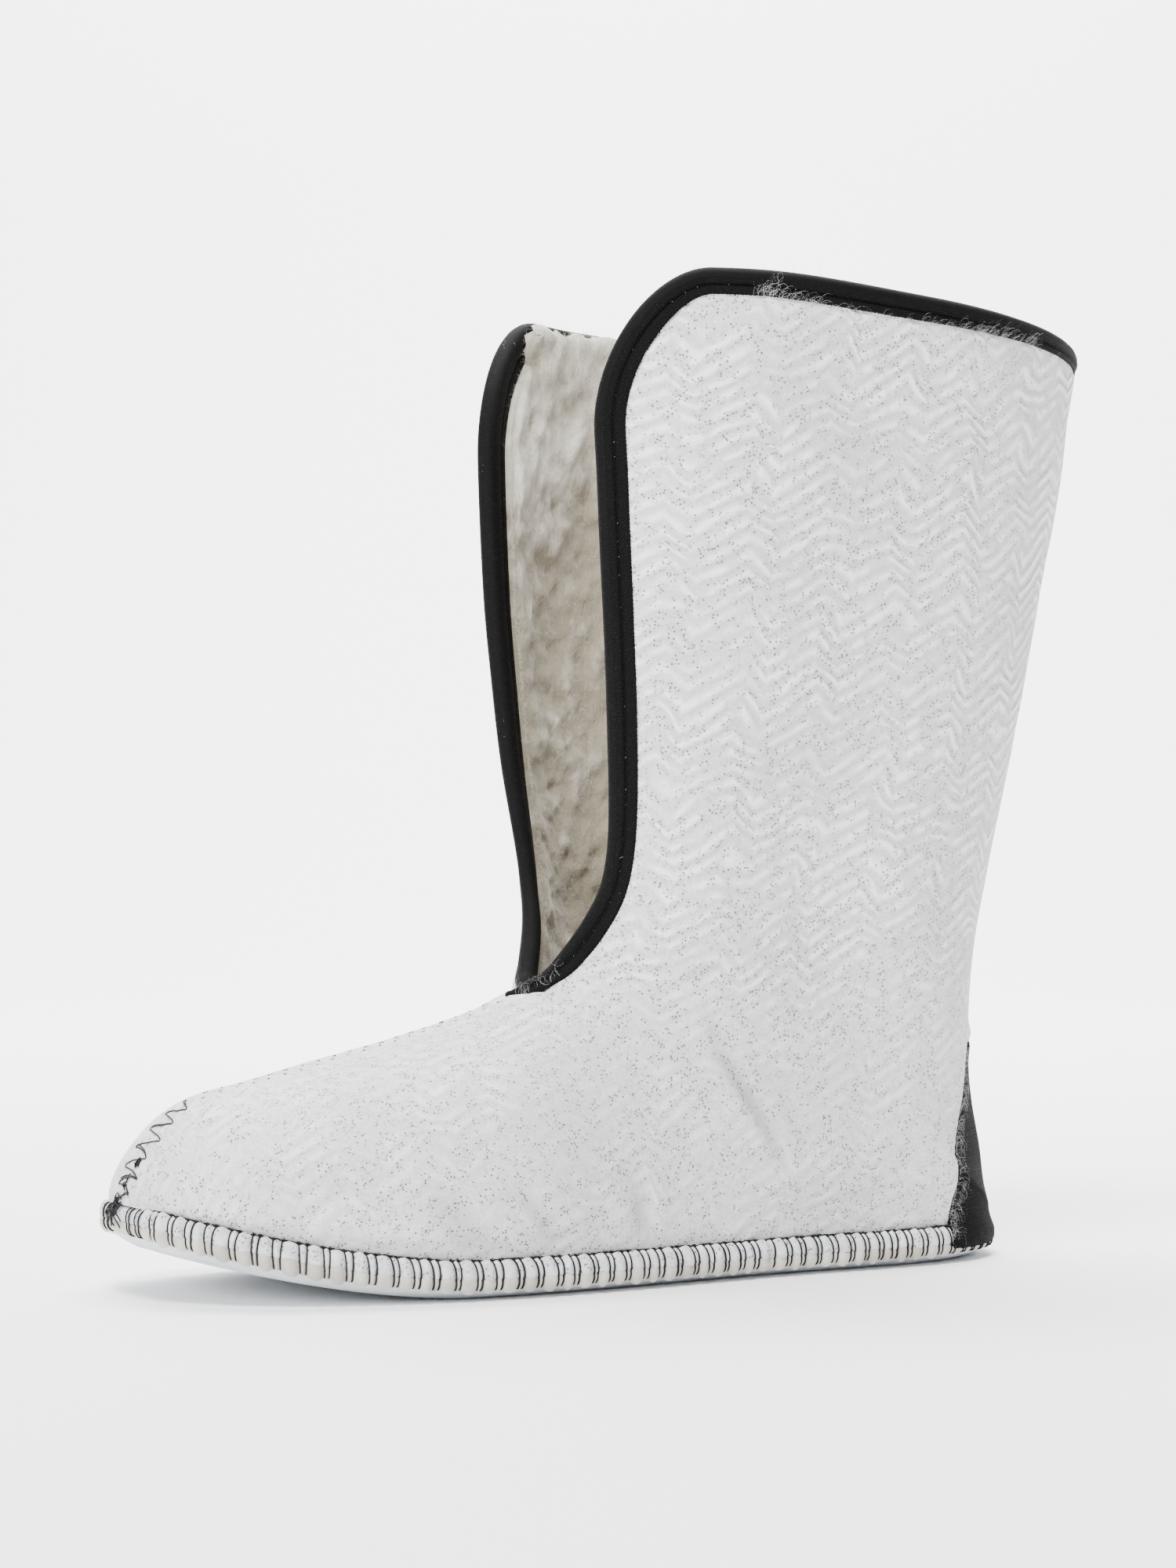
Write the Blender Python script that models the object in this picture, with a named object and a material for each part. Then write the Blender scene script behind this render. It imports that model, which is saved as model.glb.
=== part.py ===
"""Felt liner of a winter boot, for the left foot.

Metres. The toe points along +X, the outer side of the foot is +Y and +Z is up.
While the pieces are made, x counts forward from the end of the heel; at the end
everything is moved so that the origin lies under the middle of the liner.
"""

import bpy
import math
import numpy as np
from mathutils import Vector
from mathutils.bvhtree import BVHTree

# Sole
SOLE_LENGTH = 0.2835
BALL_WIDTH = 0.104
HEEL_WIDTH = 0.074
TOE_SWING = 0.006
TOE_SPRING = 0.0155
SPRING_START = 0.195
SPRING_POWER = 1.7
RIM_HEIGHT = 0.0037
PUFF = 0.0025
PUFF_WIDTH = 0.0095

# Foot of the upper
INSTEP_HEIGHT = 0.084
THROAT_X = 0.1578
LIP_HEIGHT = 0.0046
LIP_WIDTH = 0.0018
SIDE_BULGE = 0.0022

# Shaft
COLLAR_HEIGHT = 0.2890
COLLAR_DROP = 0.0130
COLLAR_CROWN = 0.0022
ANKLE_WIDTH = 0.084
SHAFT_WIDTH = 0.129
BACK_LEAN = 0.0260
SLIT_GAP = 0.078
SLIT_SETBACK = 0.0124
CORNER_RADIUS = 0.044

# Felt and tape
WALL = 0.006
EDGE_WALL = 0.0036
EDGE_MARGIN = 0.0035
EDGE_RAMP = 0.004
TAPE_WIDTH = 0.0062
TAPE_THICKNESS = 0.0009
TAPE_GAP = 0.0006
TAPE_BUNCH = 0.0012
BUNCH_REACH = 0.030
SEAM_GAP = 0.0004

# Heel patch
PATCH_HEIGHT = 0.0655
PATCH_FOOT = 0.0028
PATCH_HALF_BOTTOM = 0.054
PATCH_HALF_TOP = 0.030
PATCH_NARROWING = 3.2
PATCH_THICKNESS = 0.0012
PATCH_GAP = 0.0005

# Tape: places of its two legs as shares of its width, corners of the fold in degrees, its bulge
TAPE_LEGS = (1.0, 0.45)
CAP_TURNS = (60.0, 0.0, -60.0)
CAP_REACH = 0.8

# Mesh density
FOOT_ROWS = 16
TOE_CROWDING = 1.15
HEEL_STEPS = (0.045, 0.16, 0.31, 0.47, 0.62, 0.755, 0.865, 0.945, 1.0)
SHAFT_STEPS = (0.07, 0.15, 0.24, 0.33, 0.43, 0.53, 0.63, 0.72, 0.8, 0.87, 0.92, 0.952, 0.974, 0.9885, 1.0)
CORNER_STEPS = 6
FRONT_STEPS = 6
REAR_STEPS = 9
PATCH_STEPS = 18
PATCH_RISES = (0.0, 0.04, 0.085, 0.13, 0.18, 0.25, 0.35, 0.48, 0.64, 0.82, 1.0)
EDGE_STEPS = {"slit": 90, "corner": 30, "collar": 120}
SHARP_ANGLE = 50.0

# Parts of a step round a point of the patch at which the felt under it is looked for
PATCH_PROBES_AROUND = (-0.5, 0.0, 0.5)
PATCH_PROBES_DOWN = (0.5, 0.0)
PATCH_PROBES_UP = (0.25, 0.5)
PATCH_LOWEST = PUFF + RIM_HEIGHT * 0.3
PATCH_RAY = 0.2

# Share of v at which a section is at its widest, and where along the sole edge the sections begin
# and end to take that width from their own table and no longer from the sole
WIDEST_V = 0.4
OWN_FROM = 0.42
OWN_TO = 0.72

# Share of the back seam over which the felt's thickness turns from level to square with the seam
BACK_EASE = 0.04

# Half outline of the sole, toe to heel: share of the length, and of half the ball or heel width
OUTLINE_COLUMNS = ("x", "outer", "inner", "of")
OUTLINE = (
    (1.000, 0.000, 0.000, "ball"),
    (0.985, 0.400, 0.385, "ball"),
    (0.935, 0.690, 0.670, "ball"),
    (0.850, 0.885, 0.880, "ball"),
    (0.740, 0.985, 0.985, "ball"),
    (0.620, 0.985, 0.930, "ball"),
    (0.480, 0.895, 0.790, "ball"),
    (0.330, 1.090, 0.985, "heel"),
    (0.190, 1.010, 0.975, "heel"),
    (0.090, 0.865, 0.850, "heel"),
    (0.022, 0.480, 0.480, "heel"),
    (0.000, 0.000, 0.000, "heel"),
)

# Ends of the sole's middle line, as shares of its length
SPINE_TOE = 0.86
SPINE_HEEL = 0.12

# Rings of the sole, from the middle of its top face round to the middle of its underside: share of
# the way from the middle line to the edge, and the face they lie on
SOLE_RINGS = (
    (0.000, "top"),
    (0.550, "top"),
    (0.985, "top"),
    (1.010, "bead"),
    (0.990, "under"),
    (0.930, "under"),
    (0.860, "under"),
    (0.780, "under"),
    (0.660, "under"),
    (0.400, "under"),
    (0.000, "under"),
)

# Rounded lip of the upper over the seam, downward: shares of the lip's width and of its height
LIP_RINGS = (
    (0.300, 0.180),
    (0.000, 0.450),
    (0.100, 1.000),
)

# Crest of the vamp, toe to throat: share of the way back, and of the rise to the instep
CREST_COLUMNS = ("back", "rise")
CREST = (
    (0.000, 0.000),
    (0.030, 0.155),
    (0.085, 0.335),
    (0.165, 0.475),
    (0.300, 0.555),
    (0.480, 0.650),
    (0.660, 0.752),
    (0.840, 0.865),
    (1.000, 1.000),
)

# Edge of the slit, throat to collar: share of the rise, of the setback and of half the gap
SLIT_COLUMNS = ("rise", "setback", "gap")
SLIT = (
    (0.000, 0.000, 0.000),
    (0.016, 0.170, 0.190),
    (0.050, 0.470, 0.350),
    (0.098, 0.810, 0.530),
    (0.152, 1.000, 0.700),
    (0.230, 0.990, 0.820),
    (0.320, 0.850, 0.905),
    (0.440, 0.690, 0.965),
    (0.565, 0.530, 1.000),
    (0.690, 0.420, 1.005),
    (0.810, 0.330, 0.990),
    (1.000, 0.200, 0.960),
)

# Back seam, heel to collar: share of the rise above the sole seam, and of the lean, forward plus
BACK_COLUMNS = ("rise", "lean")
BACK = (
    (0.000, 0.080),
    (0.048, 0.190),
    (0.105, 0.320),
    (0.160, 0.400),
    (0.215, 0.415),
    (0.290, 0.375),
    (0.370, 0.245),
    (0.480, 0.000),
    (0.590, -0.240),
    (0.700, -0.450),
    (0.860, -0.800),
    (1.000, -1.000),
)

# Fan of sections. low: 0 to 1 along the sole edge from toe to heel, 1 to 2 up the back seam.
# top: 0 to 1 along the crest, 1 to 2 up the slit. half: share of half the ankle's width at the
# widest place, at: how far up the section that is, turn: degrees by which it leans in at its top.
SECTION_COLUMNS = ("low", "top", "half", "at", "turn")
SECTIONS = (
    (0.000, 0.000, 0.90, 0.12, 90),
    (0.070, 0.110, 0.90, 0.13, 90),
    (0.140, 0.230, 0.92, 0.14, 90),
    (0.220, 0.370, 0.94, 0.15, 90),
    (0.310, 0.530, 0.96, 0.17, 90),
    (0.410, 0.700, 0.97, 0.20, 90),
    (0.520, 0.870, 0.97, 0.23, 90),
    (0.640, 1.000, 0.96, 0.26, 90),
    (0.770, 1.055, 0.95, 0.29, 73),
    (0.880, 1.105, 0.94, 0.31, 63),
    (0.955, 1.150, 0.94, 0.33, 58),
    (1.000, 1.195, 0.95, 0.35, 54),
    (1.100, 1.250, 0.98, 0.37, 51),
    (1.210, 1.310, 1.03, 0.39, 48),
    (1.330, 1.390, 1.12, 0.41, 45),
    (1.470, 1.500, 1.23, 0.43, 43),
    (1.620, 1.630, 1.34, 0.45, 41),
    (1.780, 1.780, 1.42, 0.46, 40),
    (2.000, 2.000, 1.48, 0.47, 39),
)
THROAT_ROW = 7
HEEL_ROW = 11


def smooth(t):
    t = np.clip(t, 0.0, 1.0)
    return t * t * (3.0 - 2.0 * t)


def natural_spline(knots, values, start=None, end=None):
    """Cubic spline; a given start or end slope clamps it, otherwise that end is free."""
    knots = np.asarray(knots, float)
    values = np.asarray(values, float)
    n = len(knots)
    gaps = np.diff(knots)
    slopes = np.diff(values) / gaps
    matrix = np.zeros((n, n))
    right = np.zeros(n)
    for k in range(1, n - 1):
        matrix[k, k - 1] = gaps[k]
        matrix[k, k] = 2.0 * (gaps[k - 1] + gaps[k])
        matrix[k, k + 1] = gaps[k - 1]
        right[k] = 3.0 * (gaps[k] * slopes[k - 1] + gaps[k - 1] * slopes[k])
    if start is None:
        matrix[0, 0], matrix[0, 1], right[0] = 2.0, 1.0, 3.0 * slopes[0]
    else:
        matrix[0, 0], right[0] = 1.0, start
    if end is None:
        matrix[-1, -1], matrix[-1, -2], right[-1] = 2.0, 1.0, 3.0 * slopes[-1]
    else:
        matrix[-1, -1], right[-1] = 1.0, end
    tangents = np.linalg.solve(matrix, right)

    def value(t):
        t = np.asarray(t, float)
        k = np.clip(np.searchsorted(knots, t, side="right") - 1, 0, n - 2)
        h = gaps[k]
        f = (t - knots[k]) / h
        a = values[k] * (1.0 + 2.0 * f) * (1.0 - f) ** 2 + values[k + 1] * f * f * (3.0 - 2.0 * f)
        return a + h * (tangents[k] * f * (1.0 - f) ** 2 - tangents[k + 1] * f * f * (1.0 - f))

    return value


def monotone(knots, values):
    """Cubic through the values that never swings past them."""
    knots = np.asarray(knots, float)
    values = np.asarray(values, float)
    gaps = np.diff(knots)
    slopes = np.diff(values) / gaps
    tangents = np.zeros(len(values))
    for k in range(1, len(values) - 1):
        before, after = slopes[k - 1], slopes[k]
        if before * after > 0.0:
            tangents[k] = 2.0 * before * after / (before + after)
    tangents[0], tangents[-1] = slopes[0], slopes[-1]

    def value(t):
        t = np.asarray(t, float)
        k = np.clip(np.searchsorted(knots, t, side="right") - 1, 0, len(gaps) - 1)
        h = gaps[k]
        f = (t - knots[k]) / h
        a = values[k] * (1.0 + 2.0 * f) * (1.0 - f) ** 2 + values[k + 1] * f * f * (3.0 - 2.0 * f)
        return a + h * (tangents[k] * f * (1.0 - f) ** 2 - tangents[k + 1] * f * f * (1.0 - f))

    return value


def chord_shares(points):
    """Share of the way along a run of points, by the lengths between them."""
    steps = np.linalg.norm(np.diff(points, axis=0), axis=1)
    return np.concatenate([[0.0], np.cumsum(steps)]) / steps.sum()


def column(rows, names, name):
    return [row[names.index(name)] for row in rows]


def spring(x):
    """Height by which the sole lifts toward the toe."""
    return TOE_SPRING * np.clip((x - SPRING_START) / (SOLE_LENGTH - SPRING_START), 0.0, None) ** SPRING_POWER


def swing(x):
    """Sideways curve of the last toward the big toe."""
    return -TOE_SWING * np.clip((x - THROAT_X) / (SOLE_LENGTH - THROAT_X), 0.0, None) ** 2


SEAM_Z = PUFF + RIM_HEIGHT
LIP_TOP = SEAM_Z + LIP_HEIGHT
WIDTHS = {"ball": BALL_WIDTH, "heel": HEEL_WIDTH}


def make_outline(side_name):
    xs = np.array(column(OUTLINE, OUTLINE_COLUMNS, "x")) * SOLE_LENGTH
    widths = np.array([WIDTHS[name] for name in column(OUTLINE, OUTLINE_COLUMNS, "of")])
    halves = np.array(column(OUTLINE, OUTLINE_COLUMNS, side_name)) * widths / 2.0
    points = np.stack([xs, halves], -1)
    knots = chord_shares(points)
    length = np.linalg.norm(np.diff(points, axis=0), axis=1).sum()
    along = natural_spline(knots, points[:, 0], 0.0, 0.0)
    across = natural_spline(knots, points[:, 1], length, -length)
    return along, across


OUTLINES = {1: make_outline("outer"), -1: make_outline("inner")}


def outline_point(t, side, inset):
    """Point of the sole's edge and its direction toward the toe, half width counted positive."""
    along, across = OUTLINES[side]
    h = 1e-4
    t = np.clip(t, 0.0, 1.0)
    low, high = np.maximum(t - h, 0.0), np.minimum(t + h, 1.0)
    dx = along(low) - along(high)
    dy = across(low) - across(high)
    ends = (t <= 0.0) | (t >= 1.0)
    dx = np.where(ends, 0.0, dx)
    size = np.hypot(dx, dy)
    dx, dy = dx / size, dy / size
    return along(t) + dy * inset, across(t) - dx * inset, dx, dy


def make_crest():
    back = np.array(column(CREST, CREST_COLUMNS, "back"))
    rise = np.array(column(CREST, CREST_COLUMNS, "rise"))
    toe_x = SOLE_LENGTH - LIP_WIDTH
    toe_z = LIP_TOP + TOE_SPRING
    points = np.stack([toe_x + (THROAT_X - toe_x) * back, toe_z + (INSTEP_HEIGHT - toe_z) * rise], -1)
    knots = chord_shares(points)
    return natural_spline(knots, points[:, 0]), natural_spline(knots, points[:, 1])


def make_slit():
    rise = np.array(column(SLIT, SLIT_COLUMNS, "rise"))
    z = INSTEP_HEIGHT + (COLLAR_HEIGHT - INSTEP_HEIGHT) * rise
    x = THROAT_X - SLIT_SETBACK * np.array(column(SLIT, SLIT_COLUMNS, "setback"))
    y = SLIT_GAP / 2.0 * np.array(column(SLIT, SLIT_COLUMNS, "gap"))
    knots = chord_shares(np.stack([x, y, z], -1))
    return natural_spline(knots, x), monotone(knots, y), natural_spline(knots, z)


def make_back():
    rise = np.array(column(BACK, BACK_COLUMNS, "rise"))
    z = LIP_TOP + (COLLAR_HEIGHT - COLLAR_DROP - LIP_TOP) * rise
    x = BACK_LEAN * np.array(column(BACK, BACK_COLUMNS, "lean"))
    x[0] = LIP_WIDTH
    return natural_spline(rise, x), natural_spline(rise, z)


CREST_X, CREST_Z = make_crest()
SLIT_X, SLIT_Y, SLIT_Z = make_slit()
BACK_X, BACK_Z = make_back()

ROWS = np.linspace(0.0, 1.0, len(SECTIONS))
U_THROAT = ROWS[THROAT_ROW]
U_HEEL = ROWS[HEEL_ROW]
LOW = monotone(ROWS, column(SECTIONS, SECTION_COLUMNS, "low"))
TOP = monotone(ROWS, column(SECTIONS, SECTION_COLUMNS, "top"))
AT = natural_spline(ROWS, column(SECTIONS, SECTION_COLUMNS, "at"))
TURN = monotone(ROWS, column(SECTIONS, SECTION_COLUMNS, "turn"))


def half_widths():
    """Widest half width of each section: the ankle's share, opening to the shaft's at the top."""
    shares = np.array(column(SECTIONS, SECTION_COLUMNS, "half"))
    halves = shares * ANKLE_WIDTH / 2.0
    full = shares[-1]
    opening = np.clip((shares - 1.0) / (full - 1.0), 0.0, 1.0)
    return halves + opening * (SHAFT_WIDTH / 2.0 - full * ANKLE_WIDTH / 2.0)


HALF = natural_spline(ROWS, half_widths())


def low_end(t, side, depth):
    """Lower end of a section, depth under the outer face: sole edge first, then the back seam."""
    x, y, dx, dy = outline_point(t, side, LIP_WIDTH + depth)
    z = LIP_TOP + spring(x)
    share = np.clip(t - 1.0, 0.0, 1.0)
    h = 1e-4
    bx, bz = BACK_X(share), BACK_Z(share)
    tx, tz = BACK_X(share + h) - BACK_X(share - h), BACK_Z(share + h) - BACK_Z(share - h)
    size = np.hypot(tx, tz)
    ease = smooth(share / BACK_EASE)
    nx, nz = tz / size, -tx / size * ease
    up = t > 1.0
    return (np.where(up, bx + nx * depth, x), np.where(up, 0.0, y), np.where(up, bz + nz * depth, z),
            np.where(up, 0.0, dx), np.where(up, 1.0, dy))


def top_end(t):
    """Upper end of a section on the outer face: crest of the vamp first, then the slit's edge."""
    crest = np.clip(t, 0.0, 1.0)
    slit = np.clip(t - 1.0, 0.0, 1.0)
    up = t > 1.0
    x = np.where(up, SLIT_X(slit), CREST_X(crest))
    y = np.where(up, SLIT_Y(slit), 0.0)
    z = np.where(up, SLIT_Z(slit), CREST_Z(crest))
    return x, y, z


def bezier(a, b, c, d, t):
    s = 1.0 - t
    return s ** 3 * a + 3.0 * s * s * t * b + 3.0 * s * t * t * c + t ** 3 * d


ROUND = 0.5523


def surface(u, v, side, depth=0.0):
    """Point of the felt, depth under its outer face.

    u runs along the fan of sections from the toe to the collar, v from the sole or the back
    seam up to the crest or the slit.
    """
    u, v, depth = np.broadcast_arrays(np.asarray(u, float), np.asarray(v, float),
                                      np.asarray(depth, float))
    low, top = LOW(u), TOP(u)
    qx, qy, qz, tx, ty = low_end(low, side, 0.0)
    px, py, pz = top_end(top)
    reach = np.maximum(np.hypot(px - qx, pz - qz), 1e-6)
    ax, az = (px - qx) / reach, (pz - qz) / reach
    turn = np.radians(TURN(u))
    ease = smooth(u / ROWS[2])
    nx, nz = (1.0 - ease) + ease * ax, ease * az
    px = px - depth * np.sin(turn) * nx
    pz = pz - depth * np.sin(turn) * nz
    py = py - depth * np.cos(turn)
    qx, qy, qz, tx, ty = low_end(low, side, depth)
    dx, dz = px - qx, pz - qz
    reach = np.maximum(np.hypot(dx, dz), 1e-6)
    ax, az = dx / reach, dz / reach
    at = AT(u)
    own = smooth((low - OWN_FROM) / (OWN_TO - OWN_FROM))
    half = (1.0 - own) * (qy + SIDE_BULGE * smooth(u / ROWS[2])) + own * (HALF(u) - depth)
    start = np.arctan2(ty * ax, np.maximum(tx, 0.0))
    ca, sa = np.cos(start), np.sin(start)
    reach_low = at * reach
    reach_top = (1.0 - at) * reach
    h1 = ROUND * (ca * reach_low + np.abs(sa) * np.abs(half - qy))
    h2 = ROUND * (np.cos(turn) * reach_top + np.sin(turn) * np.maximum(half - py, 0.0))
    first = v < WIDEST_V
    t = np.where(first, v / WIDEST_V, (v - WIDEST_V) / (1.0 - WIDEST_V))
    a_low = bezier(0.0, h1 * ca, reach_low * (1.0 - ROUND), reach_low, t)
    b_low = bezier(qy, qy + h1 * sa, half, half, t)
    a_top = bezier(reach_low, reach_low + ROUND * reach_top, reach - h2 * np.cos(turn), reach, t)
    b_top = bezier(half, half, py + h2 * np.sin(turn), py, t)
    a = np.where(first, a_low, a_top)
    b = np.where(first, b_low, b_top)
    x = qx + ax * a
    z = qz + az * a
    return np.stack([x, side * b + swing(x), z], -1)


def collar_drop(v):
    """How far the collar's edge lies under the topmost section: crowned, with a round corner."""
    v = np.asarray(v, float)
    away = (1.0 - v) * edge_speed(1.0)
    inside = np.clip(CORNER_RADIUS - away, 0.0, CORNER_RADIUS)
    corner = CORNER_RADIUS - np.sqrt(CORNER_RADIUS ** 2 - inside ** 2)
    return corner + COLLAR_CROWN * (1.0 - np.sin(v * math.pi))


def edge_speed(u):
    """Length along the section for a unit of v, close to the slit."""
    h = 1e-3
    return np.linalg.norm(surface(u, 1.0, 1) - surface(u, 1.0 - h, 1), axis=-1) / h


def row_speed(v):
    h = 1e-3
    return np.linalg.norm(surface(1.0 - h, v, 1) - surface(1.0 - 2.0 * h, v, 1), axis=-1) / h


def collar_u(v):
    return 1.0 - collar_drop(v) / row_speed(v)


def edge_line():
    """Points close together along the raw edge of the outer half, throat to back seam."""
    slit = np.linspace(U_THROAT, float(collar_u(1.0)), EDGE_STEPS["slit"])
    away = 1.0 - CORNER_RADIUS / edge_speed(1.0)
    turns = np.linspace(0.0, math.pi / 2.0, EDGE_STEPS["corner"])
    corner = 1.0 - (1.0 - away) * (1.0 - np.cos(turns))
    rest = np.linspace(away, 0.0, EDGE_STEPS["collar"])
    across = np.concatenate([corner, rest])
    us = np.concatenate([slit, collar_u(across)])
    vs = np.concatenate([np.ones(len(slit)), across])
    return surface(us, vs, 1)


EDGE_LINE = edge_line()


def edge_distance(u, v):
    """Distance to the raw edge that the tape binds."""
    points = surface(u, v, 1)
    apart = points[..., None, :] - EDGE_LINE
    return np.sqrt((apart ** 2).sum(-1).min(-1))


def inner_depth(u, v):
    """Thickness of the felt: pressed thin under the tape."""
    free = smooth((edge_distance(u, v) - TAPE_WIDTH - EDGE_MARGIN) / EDGE_RAMP)
    return EDGE_WALL + (WALL - EDGE_WALL) * free


def upper_columns():
    """Values of v, close together where the collar's corner and the tape's border are."""
    turns = np.linspace(0.0, math.pi / 2.0, CORNER_STEPS + 1)
    away = CORNER_RADIUS * (1.0 - np.cos(turns))
    corner = 1.0 - np.sort(np.append(away, TAPE_WIDTH)) / edge_speed(1.0)
    front = np.linspace(corner[-1], WIDEST_V, FRONT_STEPS + 1)
    rear = np.linspace(WIDEST_V, 0.0, REAR_STEPS + 1)
    return np.concatenate([corner, front[1:], rear[1:]])[::-1]


def upper_stations():
    """Rows of u for every column of v: the toe, the foot, round the heel, then up the shaft."""
    columns = upper_columns()
    foot = U_THROAT * (np.arange(1, FOOT_ROWS + 1) / FOOT_ROWS) ** TOE_CROWDING
    fine = np.linspace(U_THROAT, U_HEEL, 400)
    lows = LOW(fine)
    heel = np.interp(lows[0] + (lows[-1] - lows[0]) * np.array(HEEL_STEPS), lows, fine)
    rows = [np.full(len(columns), u) for u in np.concatenate([foot, heel])]
    for share in SHAFT_STEPS:
        rows.append(U_HEEL + (collar_u(columns) - U_HEEL) * share)
    return np.array(rows), np.broadcast_to(columns, (len(rows), len(columns)))


def triangles(points, faces):
    """Splits each four-sided face along its shorter diagonal."""
    split = []
    for face in faces:
        if len(face) == 3:
            split.append(tuple(face))
            continue
        a, b, c, d = face
        if np.linalg.norm(points[a] - points[c]) <= np.linalg.norm(points[b] - points[d]):
            split += [(a, b, c), (a, c, d)]
        else:
            split += [(a, b, d), (b, c, d)]
    return split


def add_object(name, points, faces, material):
    mesh = bpy.data.meshes.new(name)
    mesh.from_pydata([tuple(p) for p in points], [], triangles(np.array(points), faces))
    mesh.validate()
    mesh.update()
    mesh.shade_smooth()
    mesh.set_sharp_from_angle(angle=math.radians(SHARP_ANGLE))
    mesh.materials.append(material)
    obj = bpy.data.objects.new(name, mesh)
    bpy.context.collection.objects.link(obj)
    return obj


def add_material(name, color, roughness, sheen=0.0):
    material = bpy.data.materials.new(name)
    material.use_nodes = True
    shader = material.node_tree.nodes["Principled BSDF"]
    shader.inputs["Base Color"].default_value = (*color, 1.0)
    shader.inputs["Roughness"].default_value = roughness
    shader.inputs["Metallic"].default_value = 0.0
    shader.inputs["Sheen Weight"].default_value = sheen
    return material


def strip(first, second, flip=False):
    """Faces between two rows of the same number of vertices, leaving out sides that shrink away."""
    faces = []
    for k in range(len(first) - 1):
        ring = [first[k], first[k + 1], second[k + 1], second[k]]
        ring = [v for n, v in enumerate(ring) if v != ring[n - 1]]
        if len(ring) >= 3:
            faces.append(ring[::-1] if flip else ring)
    return faces


class Shell:
    """Collects vertices, sharing those at the same place of both halves."""

    def __init__(self):
        self.points = []
        self.faces = []

    def add(self, point):
        self.points.append([float(c) for c in point])
        return len(self.points) - 1


def add_skin(shell, stations, which):
    """One face of the felt, both halves: indices by side, row and column."""
    us, vs = stations
    depth = 0.0 if which == "outer" else inner_depth(us, vs)
    rows, columns = us.shape
    toe_depth = 0.0 if which == "outer" else WALL
    pole = shell.add(surface(0.0, 0.0, 1, toe_depth))
    index = {}
    grids = {side: surface(us, vs, side, depth) for side in (1, -1)}
    for side in (1, -1):
        table = np.zeros((rows + 1, columns), int)
        table[0, :] = pole
        for i in range(rows):
            u = us[i, 0]
            for j in range(columns):
                on_crest = j == columns - 1 and u <= U_THROAT + 1e-9
                on_back = j == 0 and u >= U_HEEL - 1e-9
                if side == -1 and (on_crest or on_back):
                    table[i + 1, j] = index[1][i + 1, j]
                    continue
                point = grids[side][i, j].copy()
                if on_crest or on_back:
                    point[1] = swing(point[0])
                table[i + 1, j] = shell.add(point)
        index[side] = table
    for side in (1, -1):
        for i in range(rows):
            faces = strip(list(index[side][i]), list(index[side][i + 1]), flip=(side == 1))
            if which == "inner":
                faces = [face[::-1] for face in faces]
            shell.faces.extend(faces)
    return index


def heel_row_count():
    return FOOT_ROWS + len(HEEL_STEPS)


def bottom_params(stations):
    """Shares along the sole edge where the upper's lowest row stands, toe to heel."""
    us = stations[0][:heel_row_count(), 0]
    return np.concatenate([[0.0], LOW(us)])


def ring_at(shell, shares, inset, height):
    """Closed ring parallel to the sole's edge: outer side from toe to heel, then back."""
    ring = []
    for side in (1, -1):
        x, y, _, _ = outline_point(shares, side, inset)
        points = np.stack([x, side * y + swing(x), height + spring(x)], -1)
        chosen = points if side == 1 else points[-2:0:-1]
        ring += [shell.add(p) for p in chosen]
    return ring


def build_upper(material):
    shell = Shell()
    stations = upper_stations()
    outer = add_skin(shell, stations, "outer")
    inner = add_skin(shell, stations, "inner")
    heel = heel_row_count()
    foot_edge = {}
    for name, index in (("outer", outer), ("inner", inner)):
        there = list(index[1][:heel + 1, 0])
        back = list(index[-1][1:heel, 0])[::-1]
        foot_edge[name] = there + back
    shares = bottom_params(stations)
    rings = [foot_edge["outer"]]
    for inset, drop in LIP_RINGS:
        rings.append(ring_at(shell, shares, LIP_WIDTH * inset, LIP_TOP - LIP_HEIGHT * drop))
    rings.append(ring_at(shell, shares, LIP_WIDTH + WALL, SEAM_Z))
    rings.append(foot_edge["inner"])
    for first, second in zip(rings, rings[1:]):
        shell.faces.extend(strip(first + first[:1], second + second[:1], flip=True))
    rim = {}
    for name, index in (("outer", outer), ("inner", inner)):
        loop = []
        for side in (1, -1):
            slit = list(index[side][FOOT_ROWS:, -1])
            collar = list(index[side][-1, ::-1])
            way = slit + collar[1:]
            loop += way if side == 1 else way[::-1][1:-1]
        rim[name] = loop
    shell.faces.extend(strip(rim["outer"] + rim["outer"][:1], rim["inner"] + rim["inner"][:1]))
    return add_object("upper", shell.points, shell.faces, material)


def build_sole(material):
    """Felt plate cut to the outline: rim as thick as the seam takes, puffed out underneath."""
    shell = Shell()
    shares = bottom_params(upper_stations())
    spine_x = SOLE_LENGTH * (SPINE_TOE + (SPINE_HEEL - SPINE_TOE) * shares)
    spine = np.stack([spine_x, swing(spine_x)], -1)
    top = SEAM_Z - SEAM_GAP

    def height(face, inset):
        if face == "top":
            return np.full(len(inset), top)
        if face == "bead":
            return np.full(len(inset), (top + PUFF) / 2.0)
        return PUFF * (1.0 - smooth(inset / PUFF_WIDTH))

    def ring(reach, face):
        rows = []
        for side in (1, -1):
            x, y, _, _ = outline_point(shares, side, 0.0)
            edge = np.stack([x, side * y + swing(x)], -1)
            plan = spine + (edge - spine) * reach
            inset = np.linalg.norm(edge - plan, axis=1)
            points = np.column_stack([plan, height(face, inset) + spring(plan[:, 0])])
            if side == 1:
                rows += [shell.add(p) for p in points]
            elif reach > 0.0:
                rows += [shell.add(p) for p in points[-2:0:-1]]
            else:
                rows += rows[-2:0:-1]
        return rows

    rings = [ring(reach, face) for reach, face in SOLE_RINGS]
    for first, second in zip(rings, rings[1:]):
        shell.faces.extend(strip(first + first[:1], second + second[:1], flip=True))
    return add_object("sole", shell.points, shell.faces, material)


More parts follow.
